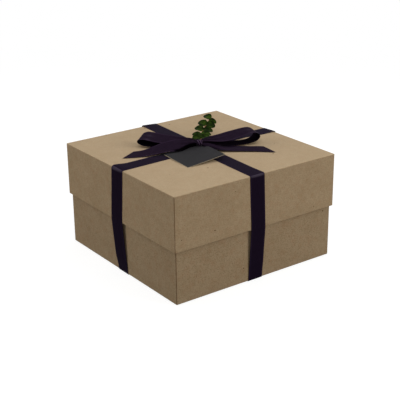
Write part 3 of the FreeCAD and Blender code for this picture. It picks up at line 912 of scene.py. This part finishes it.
class GIFTBOX_OT_ribbons(bpy.types.Operator):
    """Ties the satin ribbon round the box both ways"""

    bl_idname = "giftbox.ribbons"
    bl_label = "Tie the ribbon round"

    def execute(self, context):
        look = context.scene.ribbon_look
        weave_group()
        tones = (look.satin, look.satin_light)
        satin_material("satin", *tones, 0.002)
        # The ribbon round the box gets a darker, bluer copy of the satin: painted shade
        tint = (0.9, 0.9, 1.1)
        taut = [
            tuple(channel * look.painted_taut_shade * share for channel, share in zip(tone, tint))
            for tone in tones
        ]
        satin_material("satin taut", *taut, 0.003)
        # The knot gets a lighter copy of the satin: painted light
        satin_material("satin knot", *(shaded(tone, look.painted_knot_light) for tone in tones), 0.01)
        satin_material("satin reverse", look.reverse, look.satin, 0.0)
        # Each ribbon: name, ways it runs and widens, sideways places, where the other crosses it,
        # how far its edges stand off the two sides, phase of its ripples, and its nodes
        bands = (
            ("ribbon_round_x", X_RUN, Y_RUN, X_RIBBON_OFFSETS, 2.5 * MM, (2.0 * MM, -1.0 * MM), 0.4,
             ("ribbon_lid_x", "ribbon_strap_left", "ribbon_strap_right", "ribbon_under_x")),
            ("ribbon_round_y", Y_RUN, X_RUN, Y_RIBBON_OFFSETS, 0.0, (0.5 * MM, -1.4 * MM), 1.9,
             ("ribbon_lid_y", "ribbon_strap_front", "ribbon_strap_back", "ribbon_under_y")),
        )
        for name, run, side, offsets, crossing, twists, ripple, nodes in bands:
            middle, along, painted_highlight = band_middle(run, side, offsets, crossing, twists, ripple)
            outer_sign = 1 if run is X_RUN else -1
            piece = ribbon_piece(name, middle, along, outer_sign, painted_highlight, closed=True)
            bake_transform(piece)
            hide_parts(*nodes)
        return {"FINISHED"}


def bow_middle(ribbon, places, look, curl=0.0, painted_bend_sheen=0.0):
    """The middle surface of one of the bow's ribbons, at places along its stations: a spline
    carries the middle line, its tilt and its gather. Near the knot its width folds into pleats,
    cosine waves across the ribbon that are deepest where it is most gathered, and its front edge
    curls under: past a fold line the section turns downwards, by the curl's length. Also returns
    each point's painted shade: dark deep in the folds and on the curled-under edge, less a painted
    highlight on the folds' crests and where a loop turns back."""
    length, heading, back_sign, stations = ribbon
    run, side = heading_frame(heading, back_sign)
    stations = np.array(stations)
    distance = BOW_ROOT + (length - BOW_ROOT) * stations[:, :1]
    line = distance * run + stations[:, 1:2] * RIBBON_WIDTH * side
    line = line + KNOT_FOOT + stations[:, 2:3] * KNOT_HEIGHT * UP
    centre = spline(line, places)
    step = 0.01
    forward = unit(spline(line, places + step) - spline(line, places - step))
    lay = spline(stations[:, 3:5], places)
    tilt = np.radians(lay[..., :1])
    gather = np.clip(lay[..., 1:2], 0.16, 1.0)
    level = side * np.cos(tilt) + UP * np.sin(tilt)
    across = unit(level - forward * (level * forward).sum(-1, keepdims=True))
    outward = np.cross(forward, across) * back_sign

    columns = ribbon_columns()[None, :, None]
    half = gather * RIBBON_WIDTH / 2
    reach = np.linalg.norm(centre - KNOT_MIDDLE, axis=-1, keepdims=True)
    near = 1 - smooth_step(reach, *CURL_ENDS)
    fold_line = -0.3 + 0.9 * smooth_step(reach, *FOLD_LINE_ENDS)
    turned = smooth_step(-columns - fold_line, 0.0, 0.22) * min(1, curl / look.full_curl)
    turn = near * look.curl_turn * turned
    bend = (turn[:, :-1] + turn[:, 1:]) / 2
    arc = (half + curl * near / 2)[:, :-1] * np.diff(columns, axis=1)
    to_right = np.flip(np.cumsum(np.flip(arc * np.cos(bend), 1), axis=1), 1)
    drop = np.flip(np.cumsum(np.flip(arc * np.sin(bend), 1), axis=1), 1)
    last = np.zeros_like(to_right[:, :1])
    lateral = half - np.concatenate([to_right, last], axis=1)
    fall = np.concatenate([drop, last], axis=1)

    folded = np.sqrt(np.clip(1 - gather**2, 0, 1))
    phase = back_sign + heading
    waves = np.cos(columns * math.pi * look.pleats + phase)
    pleats = waves * look.pleat_depth * folded**1.5
    crown = BOW_CROWN * (1 - columns**2) * (1 - folded)
    # Painted shade in the pleats' valleys
    painted_valley_shade = smooth_step(-pleats, *VALLEY_DEPTHS) * 0.55
    # Painted highlight on the pleats' crests
    crests = smooth_step(pleats, *CREST_HEIGHTS) * (1 - turned) * look.painted_crest_sheen
    # Painted shade: near black on the curled-under front edge beside the knot, plus the valleys'
    # painted shade, less the crests' painted highlight
    shade = np.clip(smooth_step(near, 0.0, 0.35) * turned + painted_valley_shade - crests, -1, 1)[..., 0]
    # Painted highlight across a loop where it turns back
    shine = painted_bend_sheen * np.exp(-(((places - LOOP_BEND_PLACE) / LOOP_BEND_SPREAD) ** 2))
    shade = shade - shine * (1 + 0.6 * np.sin(columns[..., 0] * 7 + 1))
    level_out = RIBBON_THICKNESS / 2 + pleats + crown - fall
    return centre + across * lateral + outward * level_out, shade


def run_length(middle):
    """Length along the middle column of a surface, row by row."""
    line = middle[:, middle.shape[1] // 2]
    steps = np.linalg.norm(np.diff(line, axis=0), axis=1)
    return np.concatenate([[0], np.cumsum(steps)])


def knot_wrap_points(rows, columns):
    """The knot: a barrel about the bow's axis, round angle by place along the axis. Its radius
    falls to the ends, and slanted folds run round it, each a rounded ridge between sharp creases,
    because the radius follows the size of a sine of the slanted place. Also returns its painted
    shade: dark in the creases, less a painted highlight on the ridges' crests."""
    run, side = heading_frame(BOW_HEADING, 1)
    place = np.linspace(-1, 1, rows)[:, None]
    angle = np.linspace(0, 2 * math.pi, columns, endpoint=False)[None, :]
    body = KNOT_END_RADIUS + (KNOT_RADIUS - KNOT_END_RADIUS) * (1 - place**2)
    body = body * np.sqrt(np.clip(1 - np.abs(place) ** 9, 0, 1)) + 0.05 * MM
    slant = place + KNOT_SLANT * np.sin(angle + 0.9)
    ridge = np.abs(np.sin(slant * math.pi * LARGE_FOLDS + 0.5)) ** 0.8
    small = np.abs(np.sin(slant * math.pi * SMALL_FOLDS + 1.0))
    folds = LARGE_FOLD_HEIGHT * ridge + SMALL_FOLD_HEIGHT * small - FOLD_SINK
    radius = body + folds * (1 - place**8)
    along = (place * 1.08 + 0 * angle) * KNOT_LENGTH / 2
    across, high = radius * np.cos(angle), radius * np.sin(angle)
    points = KNOT_MIDDLE + along[..., None] * run + across[..., None] * side + high[..., None] * UP
    # Painted shade in the creases and a painted highlight on the crests
    painted_crease_shade = smooth_step(1 - ridge * (0.8 + 0.2 * small), 0.25, 0.7)
    crest = smooth_step(ridge * (0.85 + 0.15 * small), 0.8, 1.0)
    return points, painted_crease_shade - 0.45 * crest


def knot_tie_points(rows, columns):
    """The gathered ribbon under the knot: a column whose radius waves round it in pleats and
    spreads at its foot as an exponential."""
    height = np.linspace(0, 1, rows)[:, None]
    angle = np.linspace(0, 2 * math.pi, columns, endpoint=False)[None, :]
    spread = TIE_RADIUS + TIE_SPREAD * np.exp(-height * 9)
    radius = spread * (1 + TIE_PLEAT_SHARE * np.cos(TIE_PLEATS * angle + 1.5 * height))
    level = LID_RIBBON_TOP + RIBBON_THICKNESS + height * (KNOT_HEIGHT - 1.5 * MM)
    place = np.stack([radius * np.cos(angle), radius * np.sin(angle), level + 0 * angle], -1)
    return place + np.array([KNOT_X, KNOT_Y, 0])


def tube_uv(rows, columns, length):
    """Coordinates for a tube: along it in metres, and round it short of a ribbon's selvedges."""
    round_it = np.linspace(-0.85, 0.85, columns + 1)
    return np.stack(np.meshgrid(round_it, np.linspace(0, length, rows)), -1)


class GIFTBOX_OT_bow(bpy.types.Operator):
    """Ties the bow: a knot, two loops and two slanted tails"""

    bl_idname = "giftbox.bow"
    bl_label = "Tie the bow"

    def execute(self, context):
        look = context.scene.ribbon_look
        columns = ribbon_columns()
        for name, ribbon in LOOPS.items():
            last = len(ribbon[-1]) - 1
            places = np.linspace(-KNOT_OVERRUN, last + KNOT_OVERRUN, LOOP_ROWS)[:, None]
            places = places * np.ones_like(columns)
            self.tie(name, ribbon, *bow_middle(ribbon, places, look, painted_bend_sheen=look.painted_bend_sheen))
        for name, ribbon in TAILS.items():
            last = len(ribbon[-1]) - 1
            share = np.linspace(0, 1, TAIL_ROWS)[:, None]
            places = share * (last + KNOT_OVERRUN) - KNOT_OVERRUN - TAIL_SLANT * share**5 * columns
            self.tie(name, ribbon, *bow_middle(ribbon, places, look, curl=TAIL_CURLS[name]))
        satin = bpy.data.materials["satin knot"]
        points, shade = knot_wrap_points(KNOT_ROWS, KNOT_ROUND)
        wrap = surface_piece(
            "satin_bow_knot", points, tube_uv(KNOT_ROWS, KNOT_ROUND, KNOT_LENGTH), satin,
            wrap=(False, True), caps=True, shade=shade,
        )
        tie = surface_piece(
            "satin_bow_tie", knot_tie_points(TIE_ROWS, KNOT_ROUND),
            tube_uv(TIE_ROWS, KNOT_ROUND, KNOT_HEIGHT), satin, wrap=(False, True), caps=True,
        )
        for piece in (wrap, tie):
            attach(piece, "lid")
        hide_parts("bow_knot")
        return {"FINISHED"}

    def tie(self, name, ribbon, middle, shade):
        travel = run_length(middle)
        back_sign = ribbon[2]
        piece = ribbon_piece("satin_" + name, middle, travel, back_sign, shade)
        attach(piece, "lid")
        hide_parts(name)


def tag_points(look):
    """The card as a ring about its hole: a section that runs out over its upper side, down its cut
    edge, back under it and up through the hole, carried round the hole. Its outline is the square,
    walked at an even pace, and its corners curl with the square of their distance. Also returns
    the flat places of its points."""
    low = TAG_HOLE_INSETS - look.side
    walk = np.linspace(0, 4, 4 * TAG_SIDE_STEPS + 1)[:-1]
    side, share = walk.astype(int), walk % 1
    corners = np.array([(1, 1), (0, 1), (0, 0), (1, 0), (1, 1)])
    square = corners[side] + (corners[side + 1] - corners[side]) * share[:, None]
    edge = low + square * look.side
    hole = unit(edge) * TAG_HOLE_RADIUS
    out = np.array([0, 0.03, 0.1, 0.25, 0.45, 0.65, 0.82, 0.93, 0.99, 1])
    ring = np.concatenate([out, [1], out[::-1], [0]])
    face = look.thickness / 2
    over = np.append(np.full(len(out) - 1, face), face - TAG_CHAMFER)
    section = np.concatenate([over, [0], -over[::-1], [0]])
    flat = hole + (edge - hole) * ring[:, None, None]
    reach = np.linalg.norm(flat, axis=-1) / look.side
    lift = look.curl * (reach**2) * np.sin(np.arctan2(flat[..., 1], flat[..., 0]) * 2 + 2.3)
    points = np.dstack([flat, section[:, None] + lift])
    hole_level = KNOT_MIDDLE[2] - KNOT_RADIUS - TAG_KNOT_GAP - look.thickness / 2
    low_level = LID_RIBBON_TOP + TAG_RIBBON_GAP + look.thickness / 2
    tilt = math.asin((hole_level - low_level) / -low[0])
    up, level = math.sin(tilt), math.cos(tilt)
    lean = np.array([[level, 0, -up], [0, 1, 0], [up, 0, level]])
    turn = math.radians(TAG_TURN)
    sine, cosine = math.sin(turn), math.cos(turn)
    spin = np.array([[cosine, -sine, 0], [sine, cosine, 0], [0, 0, 1]])
    return points @ (spin @ lean).T + np.array([KNOT_X, KNOT_Y, hole_level]), flat


class GIFTBOX_OT_tag(bpy.types.Operator):
    """Hangs the blank card tag under the knot"""

    bl_idname = "giftbox.tag"
    bl_label = "Hang the tag"

    def execute(self, context):
        look = context.scene.tag_look
        card, tree = started_material("dark card")
        vector = object_coordinates(tree)
        fibres = use_group(tree, "Paper fibres", {"Vector": vector, "Speck Amount": 0.0})
        pale = product(tree, fibres.outputs["Fibre"], 0.4)
        colour = mix_colour(tree, pale, look.card, shaded(look.card, 1.5))
        dark = product(tree, fibres.outputs["Mottle"], 0.5)
        colour = mix_colour(tree, dark, colour, shaded(look.card, 0.8))
        height = fibres.outputs["Height"]
        finished_material(card, colour, 0.62, height, 0.03 * MM, Specular_IOR_Level=0.022)
        core, tree = started_material("card core")
        vector = object_coordinates(tree)
        tone = mapped(tree, noise(tree, vector, 1500.0), 0.35, 0.65)
        colour = mix_colour(tree, tone, look.core, shaded(look.core, 0.7))
        finished_material(core, colour, 0.85, noise(tree, vector, 2600.0), 0.04 * MM)
        points, flat = tag_points(look)
        uv = np.pad(flat, ((0, 1), (0, 1), (0, 0)), mode="wrap")
        piece = surface_piece("tag_blank_card", points, uv, card, wrap=(True, True))
        piece.data.materials.append(core)
        rows, around = points.shape[:2]
        row = np.arange(len(piece.data.polygons)) // around
        rim = rows // 2 - 1  # the section's outermost row
        cut = (row >= rim - 2) & (row <= rim + 1) | (row >= rows - 2)
        piece.data.polygons.foreach_set("material_index", cut.astype(np.int32))
        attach(piece, "tag")
        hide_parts("tag_card")
        return {"FINISHED"}


def stem_line(places):
    """The sprig's middle line, a spline through its stations."""
    run, side = heading_frame(SPRIG_HEADING, 1)
    stations = np.array(STEM_STATIONS)
    line = (stations[:, :1] * run + stations[:, 1:2] * side) * STEM_LENGTH
    return spline(line + KNOT_FOOT + stations[:, 2:] * KNOT_HEIGHT * UP, places)


def stem_radius(look, share):
    """The stem's radius at a share of its stations, from root to tip."""
    return look.root_radius + (look.tip_radius - look.root_radius) * share


def stem_points(look, rows, columns):
    """The stem: a tube about its line that thins from root to tip and swells a little at each
    pair of leaves."""
    last = len(STEM_STATIONS) - 1
    places = np.linspace(0, last, rows)
    centre = stem_line(places)
    forward = unit(np.gradient(centre, axis=0))
    across = unit(np.cross(forward, UP))
    upward = np.cross(across, forward)
    share = places / last
    reach = np.interp(places, np.arange(last + 1), [station[0] for station in STEM_STATIONS])
    nodes = np.array([leaf[0] for leaf in LEAVES])
    swelling = np.exp(-(((reach[:, None] - nodes) / 0.012) ** 2)).sum(1)
    tip = smooth_step(share, 0.985, 1.0)
    radius = stem_radius(look, share) * (1 + 0.35 * np.minimum(swelling, 1) - 0.85 * tip)
    angle = np.linspace(0, 2 * math.pi, columns, endpoint=False)[None, :, None]
    spoke = across[:, None] * np.cos(angle) + upward[:, None] * np.sin(angle)
    return centre[:, None] + spoke * radius[:, None, None]


def leaf_points(look, along_stem, side_sign, turn, lift, roll, length, width):
    """A round stalkless leaf: a closed strip whose half width is an oval's, with its base on the
    stem. Its midrib line arches over, as a groove above and a ridge below. The blade cups up away
    from it with the square of the distance, waves at its rim and thins to its edge."""
    reach = [station[0] for station in STEM_STATIONS]
    place = np.interp(along_stem, reach, np.arange(len(reach)))
    near = stem_line(place + np.array([-0.01, 0, 0.01]))
    forward = unit(near[2] - near[0])
    left = unit(np.cross(UP, forward))
    turn, lift, roll = (math.radians(angle) for angle in (turn, lift, roll))
    level = forward * math.cos(turn) + left * side_sign * math.sin(turn)
    outward = unit(level * math.cos(lift) + UP * math.sin(lift))
    normal = unit(np.cross(forward, outward)) * side_sign
    across = np.cross(normal, outward)
    length, width = length * MM, width * MM
    rise = stem_radius(look, place / (len(reach) - 1))
    centre = near[1] + outward * (length / 2 - LEAF_OVERLAP) + normal * rise
    front = math.copysign(math.sin(roll), across @ FRONT)
    normal, across = (
        normal * math.cos(roll) + across * front,
        across * math.cos(roll) - normal * front,
    )

    bend = np.linspace(0.04, math.pi - 0.03, LEAF_ROWS)
    x = -np.cos(bend)
    oval = np.sin(bend) * (1 - 0.1 * x)
    half = oval * width / 2
    line = (1 - x**2) * length * LEAF_ARCH
    columns = np.sin(np.linspace(-1, 1, LEAF_COLUMNS) * math.pi / 2)
    strip = np.concatenate([columns, columns[::-1]])
    upper = np.repeat([1.0, -1.0], LEAF_COLUMNS)
    thick = LEAF_THICKNESS / 2 * (0.3 + 0.7 * np.sqrt(1 - 0.97 * strip**2))
    thick = thick * np.minimum(oval * 6, 1)[:, None]
    y = half[:, None] * strip
    midrib = np.exp(-((y / MIDRIB_HALF_WIDTH) ** 2)) * MIDRIB_DEPTH
    cup = LEAF_CUP * width * (strip**2) * oval[:, None] ** 2
    ripple = np.sin(x[:, None] * 5 + along_stem * 18)
    wave = LEAF_WAVE * width * ripple * strip * np.abs(strip) * oval[:, None]
    rib_drop = midrib * np.where(upper > 0, 0.6, 1.0)
    z = line[:, None] + cup + wave + upper * thick - rib_drop
    midline = centre + (x * length / 2)[:, None, None] * outward
    points = midline + y[..., None] * across + z[..., None] * normal
    uv = np.stack(np.broadcast_arrays(strip[None, :], x[:, None]), -1)
    return points, np.concatenate([uv, uv[:, :1]], 1)


def leaf_material(look):
    """A waxy leaf with painted shade that darkens it towards its tip and rim, and with a paler midrib
    and fine side veins.
    """
    material, tree = started_material("waxy leaf")
    vector = node(tree, "UVMap", uv_map="UVMap").outputs[0]
    place = node(tree, "SeparateXYZ", {0: vector})
    side = math_node(tree, "ABSOLUTE", place.outputs[0])
    solid = object_coordinates(tree)
    tone = mapped(tree, noise(tree, solid, 150.0, 4.0), 0.36, 0.66)
    colour = mix_colour(tree, tone, look.leaf_dark, look.leaf)
    # Painted shade towards the tip
    tip = mapped(tree, place.outputs[1], 0.0, 1.0, 0.0, 0.5)
    colour = mix_colour(tree, tip, colour, look.leaf_dark)
    forward, aside = product(tree, place.outputs[1], 26.0), product(tree, side, 13.0)
    slant = math_node(tree, "SUBTRACT", forward, aside)
    wander = product(tree, noise(tree, solid, 420.0), 3.0)
    phase = math_node(tree, "ADD", slant, wander)
    vein = mapped(tree, math_node(tree, "SINE", phase), 0.86, 1.0)
    midrib = mapped(tree, side, 0.03, 0.09, 1.0, 0.0)
    veins = math_node(tree, "MAXIMUM", product(tree, vein, 0.35), midrib)
    colour = mix_colour(tree, product(tree, veins, 0.35), colour, look.vein)
    # Painted shade towards the rim
    rim = mapped(tree, side, 0.6, 1.0, 0.0, 0.8)
    colour = mix_colour(tree, rim, colour, look.leaf_dark)
    height = math_node(tree, "SUBTRACT", noise(tree, solid, 700.0), veins)
    roughness = mapped(tree, tone, 0.0, 1.0, 0.36, 0.48)
    return finished_material(material, colour, roughness, height, 0.06 * MM, Specular_IOR_Level=0.015)


class GIFTBOX_OT_sprig(bpy.types.Operator):
    """Tucks the eucalyptus sprig into the knot"""

    bl_idname = "giftbox.sprig"
    bl_label = "Tuck in the sprig"

    def execute(self, context):
        look = context.scene.sprig_look
        leaf = leaf_material(look)
        stem, tree = started_material("woody stem")
        vector = object_coordinates(tree)
        tone = mapped(tree, noise(tree, vector, 300.0), 0.35, 0.65)
        colour = mix_colour(tree, tone, look.stem, shaded(look.stem, 0.6))
        bark = noise(tree, vector, 900.0)
        finished_material(stem, colour, 0.6, bark, 0.05 * MM, Specular_IOR_Level=0.1)
        piece = surface_piece(
            "sprig_woody_stem", stem_points(look, STEM_ROWS, STEM_ROUND),
            tube_uv(STEM_ROWS, STEM_ROUND, STEM_LENGTH), stem, wrap=(False, True), caps=True,
        )
        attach(piece, "sprig")
        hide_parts("sprig_stem")
        for number, leaf_sizes in enumerate(LEAVES, start=1):
            points, uv = leaf_points(look, *leaf_sizes)
            piece = surface_piece(
                f"sprig_round_leaf_{number}", points, uv, leaf, wrap=(False, True), caps=True
            )
            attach(piece, "sprig")
            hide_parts(f"sprig_leaf_{number}")
        return {"FINISHED"}


def area_lamp(name, place, size, power, tint):
    """A square soft lamp turned to face the box."""
    lamp = bpy.data.lights.new(name, "AREA")
    lamp.color = tint
    lamp.size = size
    lamp.energy = power
    holder = bpy.data.objects.new(name, lamp)
    holder.location = place
    direction = np.array(LAMP_TARGET) - np.array(place)
    turn = math.atan2(direction[0], direction[1])
    drop = math.atan2(math.hypot(direction[0], direction[1]), -direction[2])
    holder.rotation_euler = (drop, 0.0, -turn)
    bpy.context.scene.collection.objects.link(holder)


def cleared_tree(owner):
    """The node tree of a material or world, emptied."""
    owner.use_nodes = True
    owner.node_tree.nodes.clear()
    return owner.node_tree


def shown_rays(tree):
    """1 for rays that show the surroundings: the camera's, mirrored ones and those let through."""
    path = node(tree, "LightPath")
    shown = math_node(tree, "MAXIMUM", path.outputs["Is Camera Ray"], path.outputs["Is Glossy Ray"])
    return math_node(tree, "MAXIMUM", shown, path.outputs["Is Transmission Ray"])


class GIFTBOX_OT_stage(bpy.types.Operator):
    """Sets the camera, the soft lamps, the pale floor and the white surroundings"""

    bl_idname = "giftbox.stage"
    bl_label = "Set the stage"

    def execute(self, context):
        look = context.scene.stage_look
        scene = context.scene
        camera = bpy.data.objects.new("camera", bpy.data.cameras.new("camera"))
        camera.data.lens = look.lens
        camera.data.sensor_width = 36.0
        camera.location = look.camera_place
        camera.rotation_euler = look.camera_turn
        scene.collection.objects.link(camera)
        scene.camera = camera
        scene.view_settings.view_transform = "Standard"

        world = bpy.data.worlds.new("surroundings")
        scene.world = world
        tree = cleared_tree(world)
        shown = shown_rays(tree)
        light = node(tree, "Background", {"Color": (0.97, 0.98, 1.0, 1), "Strength": look.world_light})
        white = node(tree, "Background", {"Color": (1, 1, 1, 1), "Strength": 1.0})
        mixed = node(tree, "MixShader", {0: shown, 1: light.outputs[0], 2: white.outputs[0]})
        node(tree, "OutputWorld", {"Surface": mixed.outputs[0]})

        half = look.floor_size / 2
        mesh = bpy.data.meshes.new("floor")
        corners = [(-half, -half, 0), (half, -half, 0), (half, half, 0), (-half, half, 0)]
        mesh.from_pydata(corners, [], [(0, 1, 2, 3)])
        floor = bpy.data.objects.new("floor", mesh)
        scene.collection.objects.link(floor)
        material = bpy.data.materials.new("floor")
        tree = cleared_tree(material)
        shown = shown_rays(tree)
        # The floor throws a little warm light back at the box. Where it shows, it keeps the box's
        # shadow near the box and fades to plain white further out.
        grey = node(tree, "BsdfDiffuse", {"Color": (0.2, 0.19, 0.17, 1)})
        pale = node(tree, "BsdfDiffuse", {"Color": (0.3, 0.3, 0.3, 1)})
        glow = node(tree, "Emission", {"Color": (1, 1, 1, 1), "Strength": 0.82})
        lit = node(tree, "AddShader", {0: pale.outputs[0], 1: glow.outputs[0]})
        away = node(tree, "VectorMath", {0: object_coordinates(tree)}, operation="LENGTH")
        bright = node(tree, "Emission", {"Color": (1, 1, 1, 1), "Strength": 1.0})
        far = mapped(tree, away.outputs["Value"], 0.5, 1.3)
        faded = node(tree, "MixShader", {0: far, 1: lit.outputs[0], 2: bright.outputs[0]})
        mixed = node(tree, "MixShader", {0: shown, 1: grey.outputs[0], 2: faded.outputs[0]})
        node(tree, "OutputMaterial", {"Surface": mixed.outputs[0]})
        mesh.materials.append(material)

        for lamp in LAMPS:
            area_lamp(*lamp)
        return {"FINISHED"}


class GIFTBOX_PT_panel(bpy.types.Panel):
    """Lists the steps that dress the gift box"""

    bl_label = "Gift Box"
    bl_space_type = "VIEW_3D"
    bl_region_type = "UI"
    bl_category = "Gift Box"

    def draw(self, context):
        for operator in OPERATORS:
            self.layout.operator(operator.bl_idname)
        for holder, group in PROPERTY_GROUPS.items():
            settings = getattr(context.scene, holder)
            for key in group.__annotations__:
                self.layout.prop(settings, key)


OPERATORS = (
    GIFTBOX_OT_stage, GIFTBOX_OT_paper, GIFTBOX_OT_ribbons, GIFTBOX_OT_bow, GIFTBOX_OT_tag,
    GIFTBOX_OT_sprig,
)


def register():
    for made in (*PROPERTY_GROUPS.values(), *OPERATORS, GIFTBOX_PT_panel):
        bpy.utils.register_class(made)
    for holder, group in PROPERTY_GROUPS.items():
        setattr(bpy.types.Scene, holder, PointerProperty(type=group))


def unregister():
    for holder in PROPERTY_GROUPS:
        delattr(bpy.types.Scene, holder)
    for made in (GIFTBOX_PT_panel, *reversed(OPERATORS), *PROPERTY_GROUPS.values()):
        bpy.utils.unregister_class(made)


def main():
    """Dresses the box step by step."""
    register()
    for step in (
        bpy.ops.giftbox.stage, bpy.ops.giftbox.paper, bpy.ops.giftbox.ribbons,
        bpy.ops.giftbox.bow, bpy.ops.giftbox.tag, bpy.ops.giftbox.sprig,
    ):
        step()


if __name__ == "__main__":
    main()
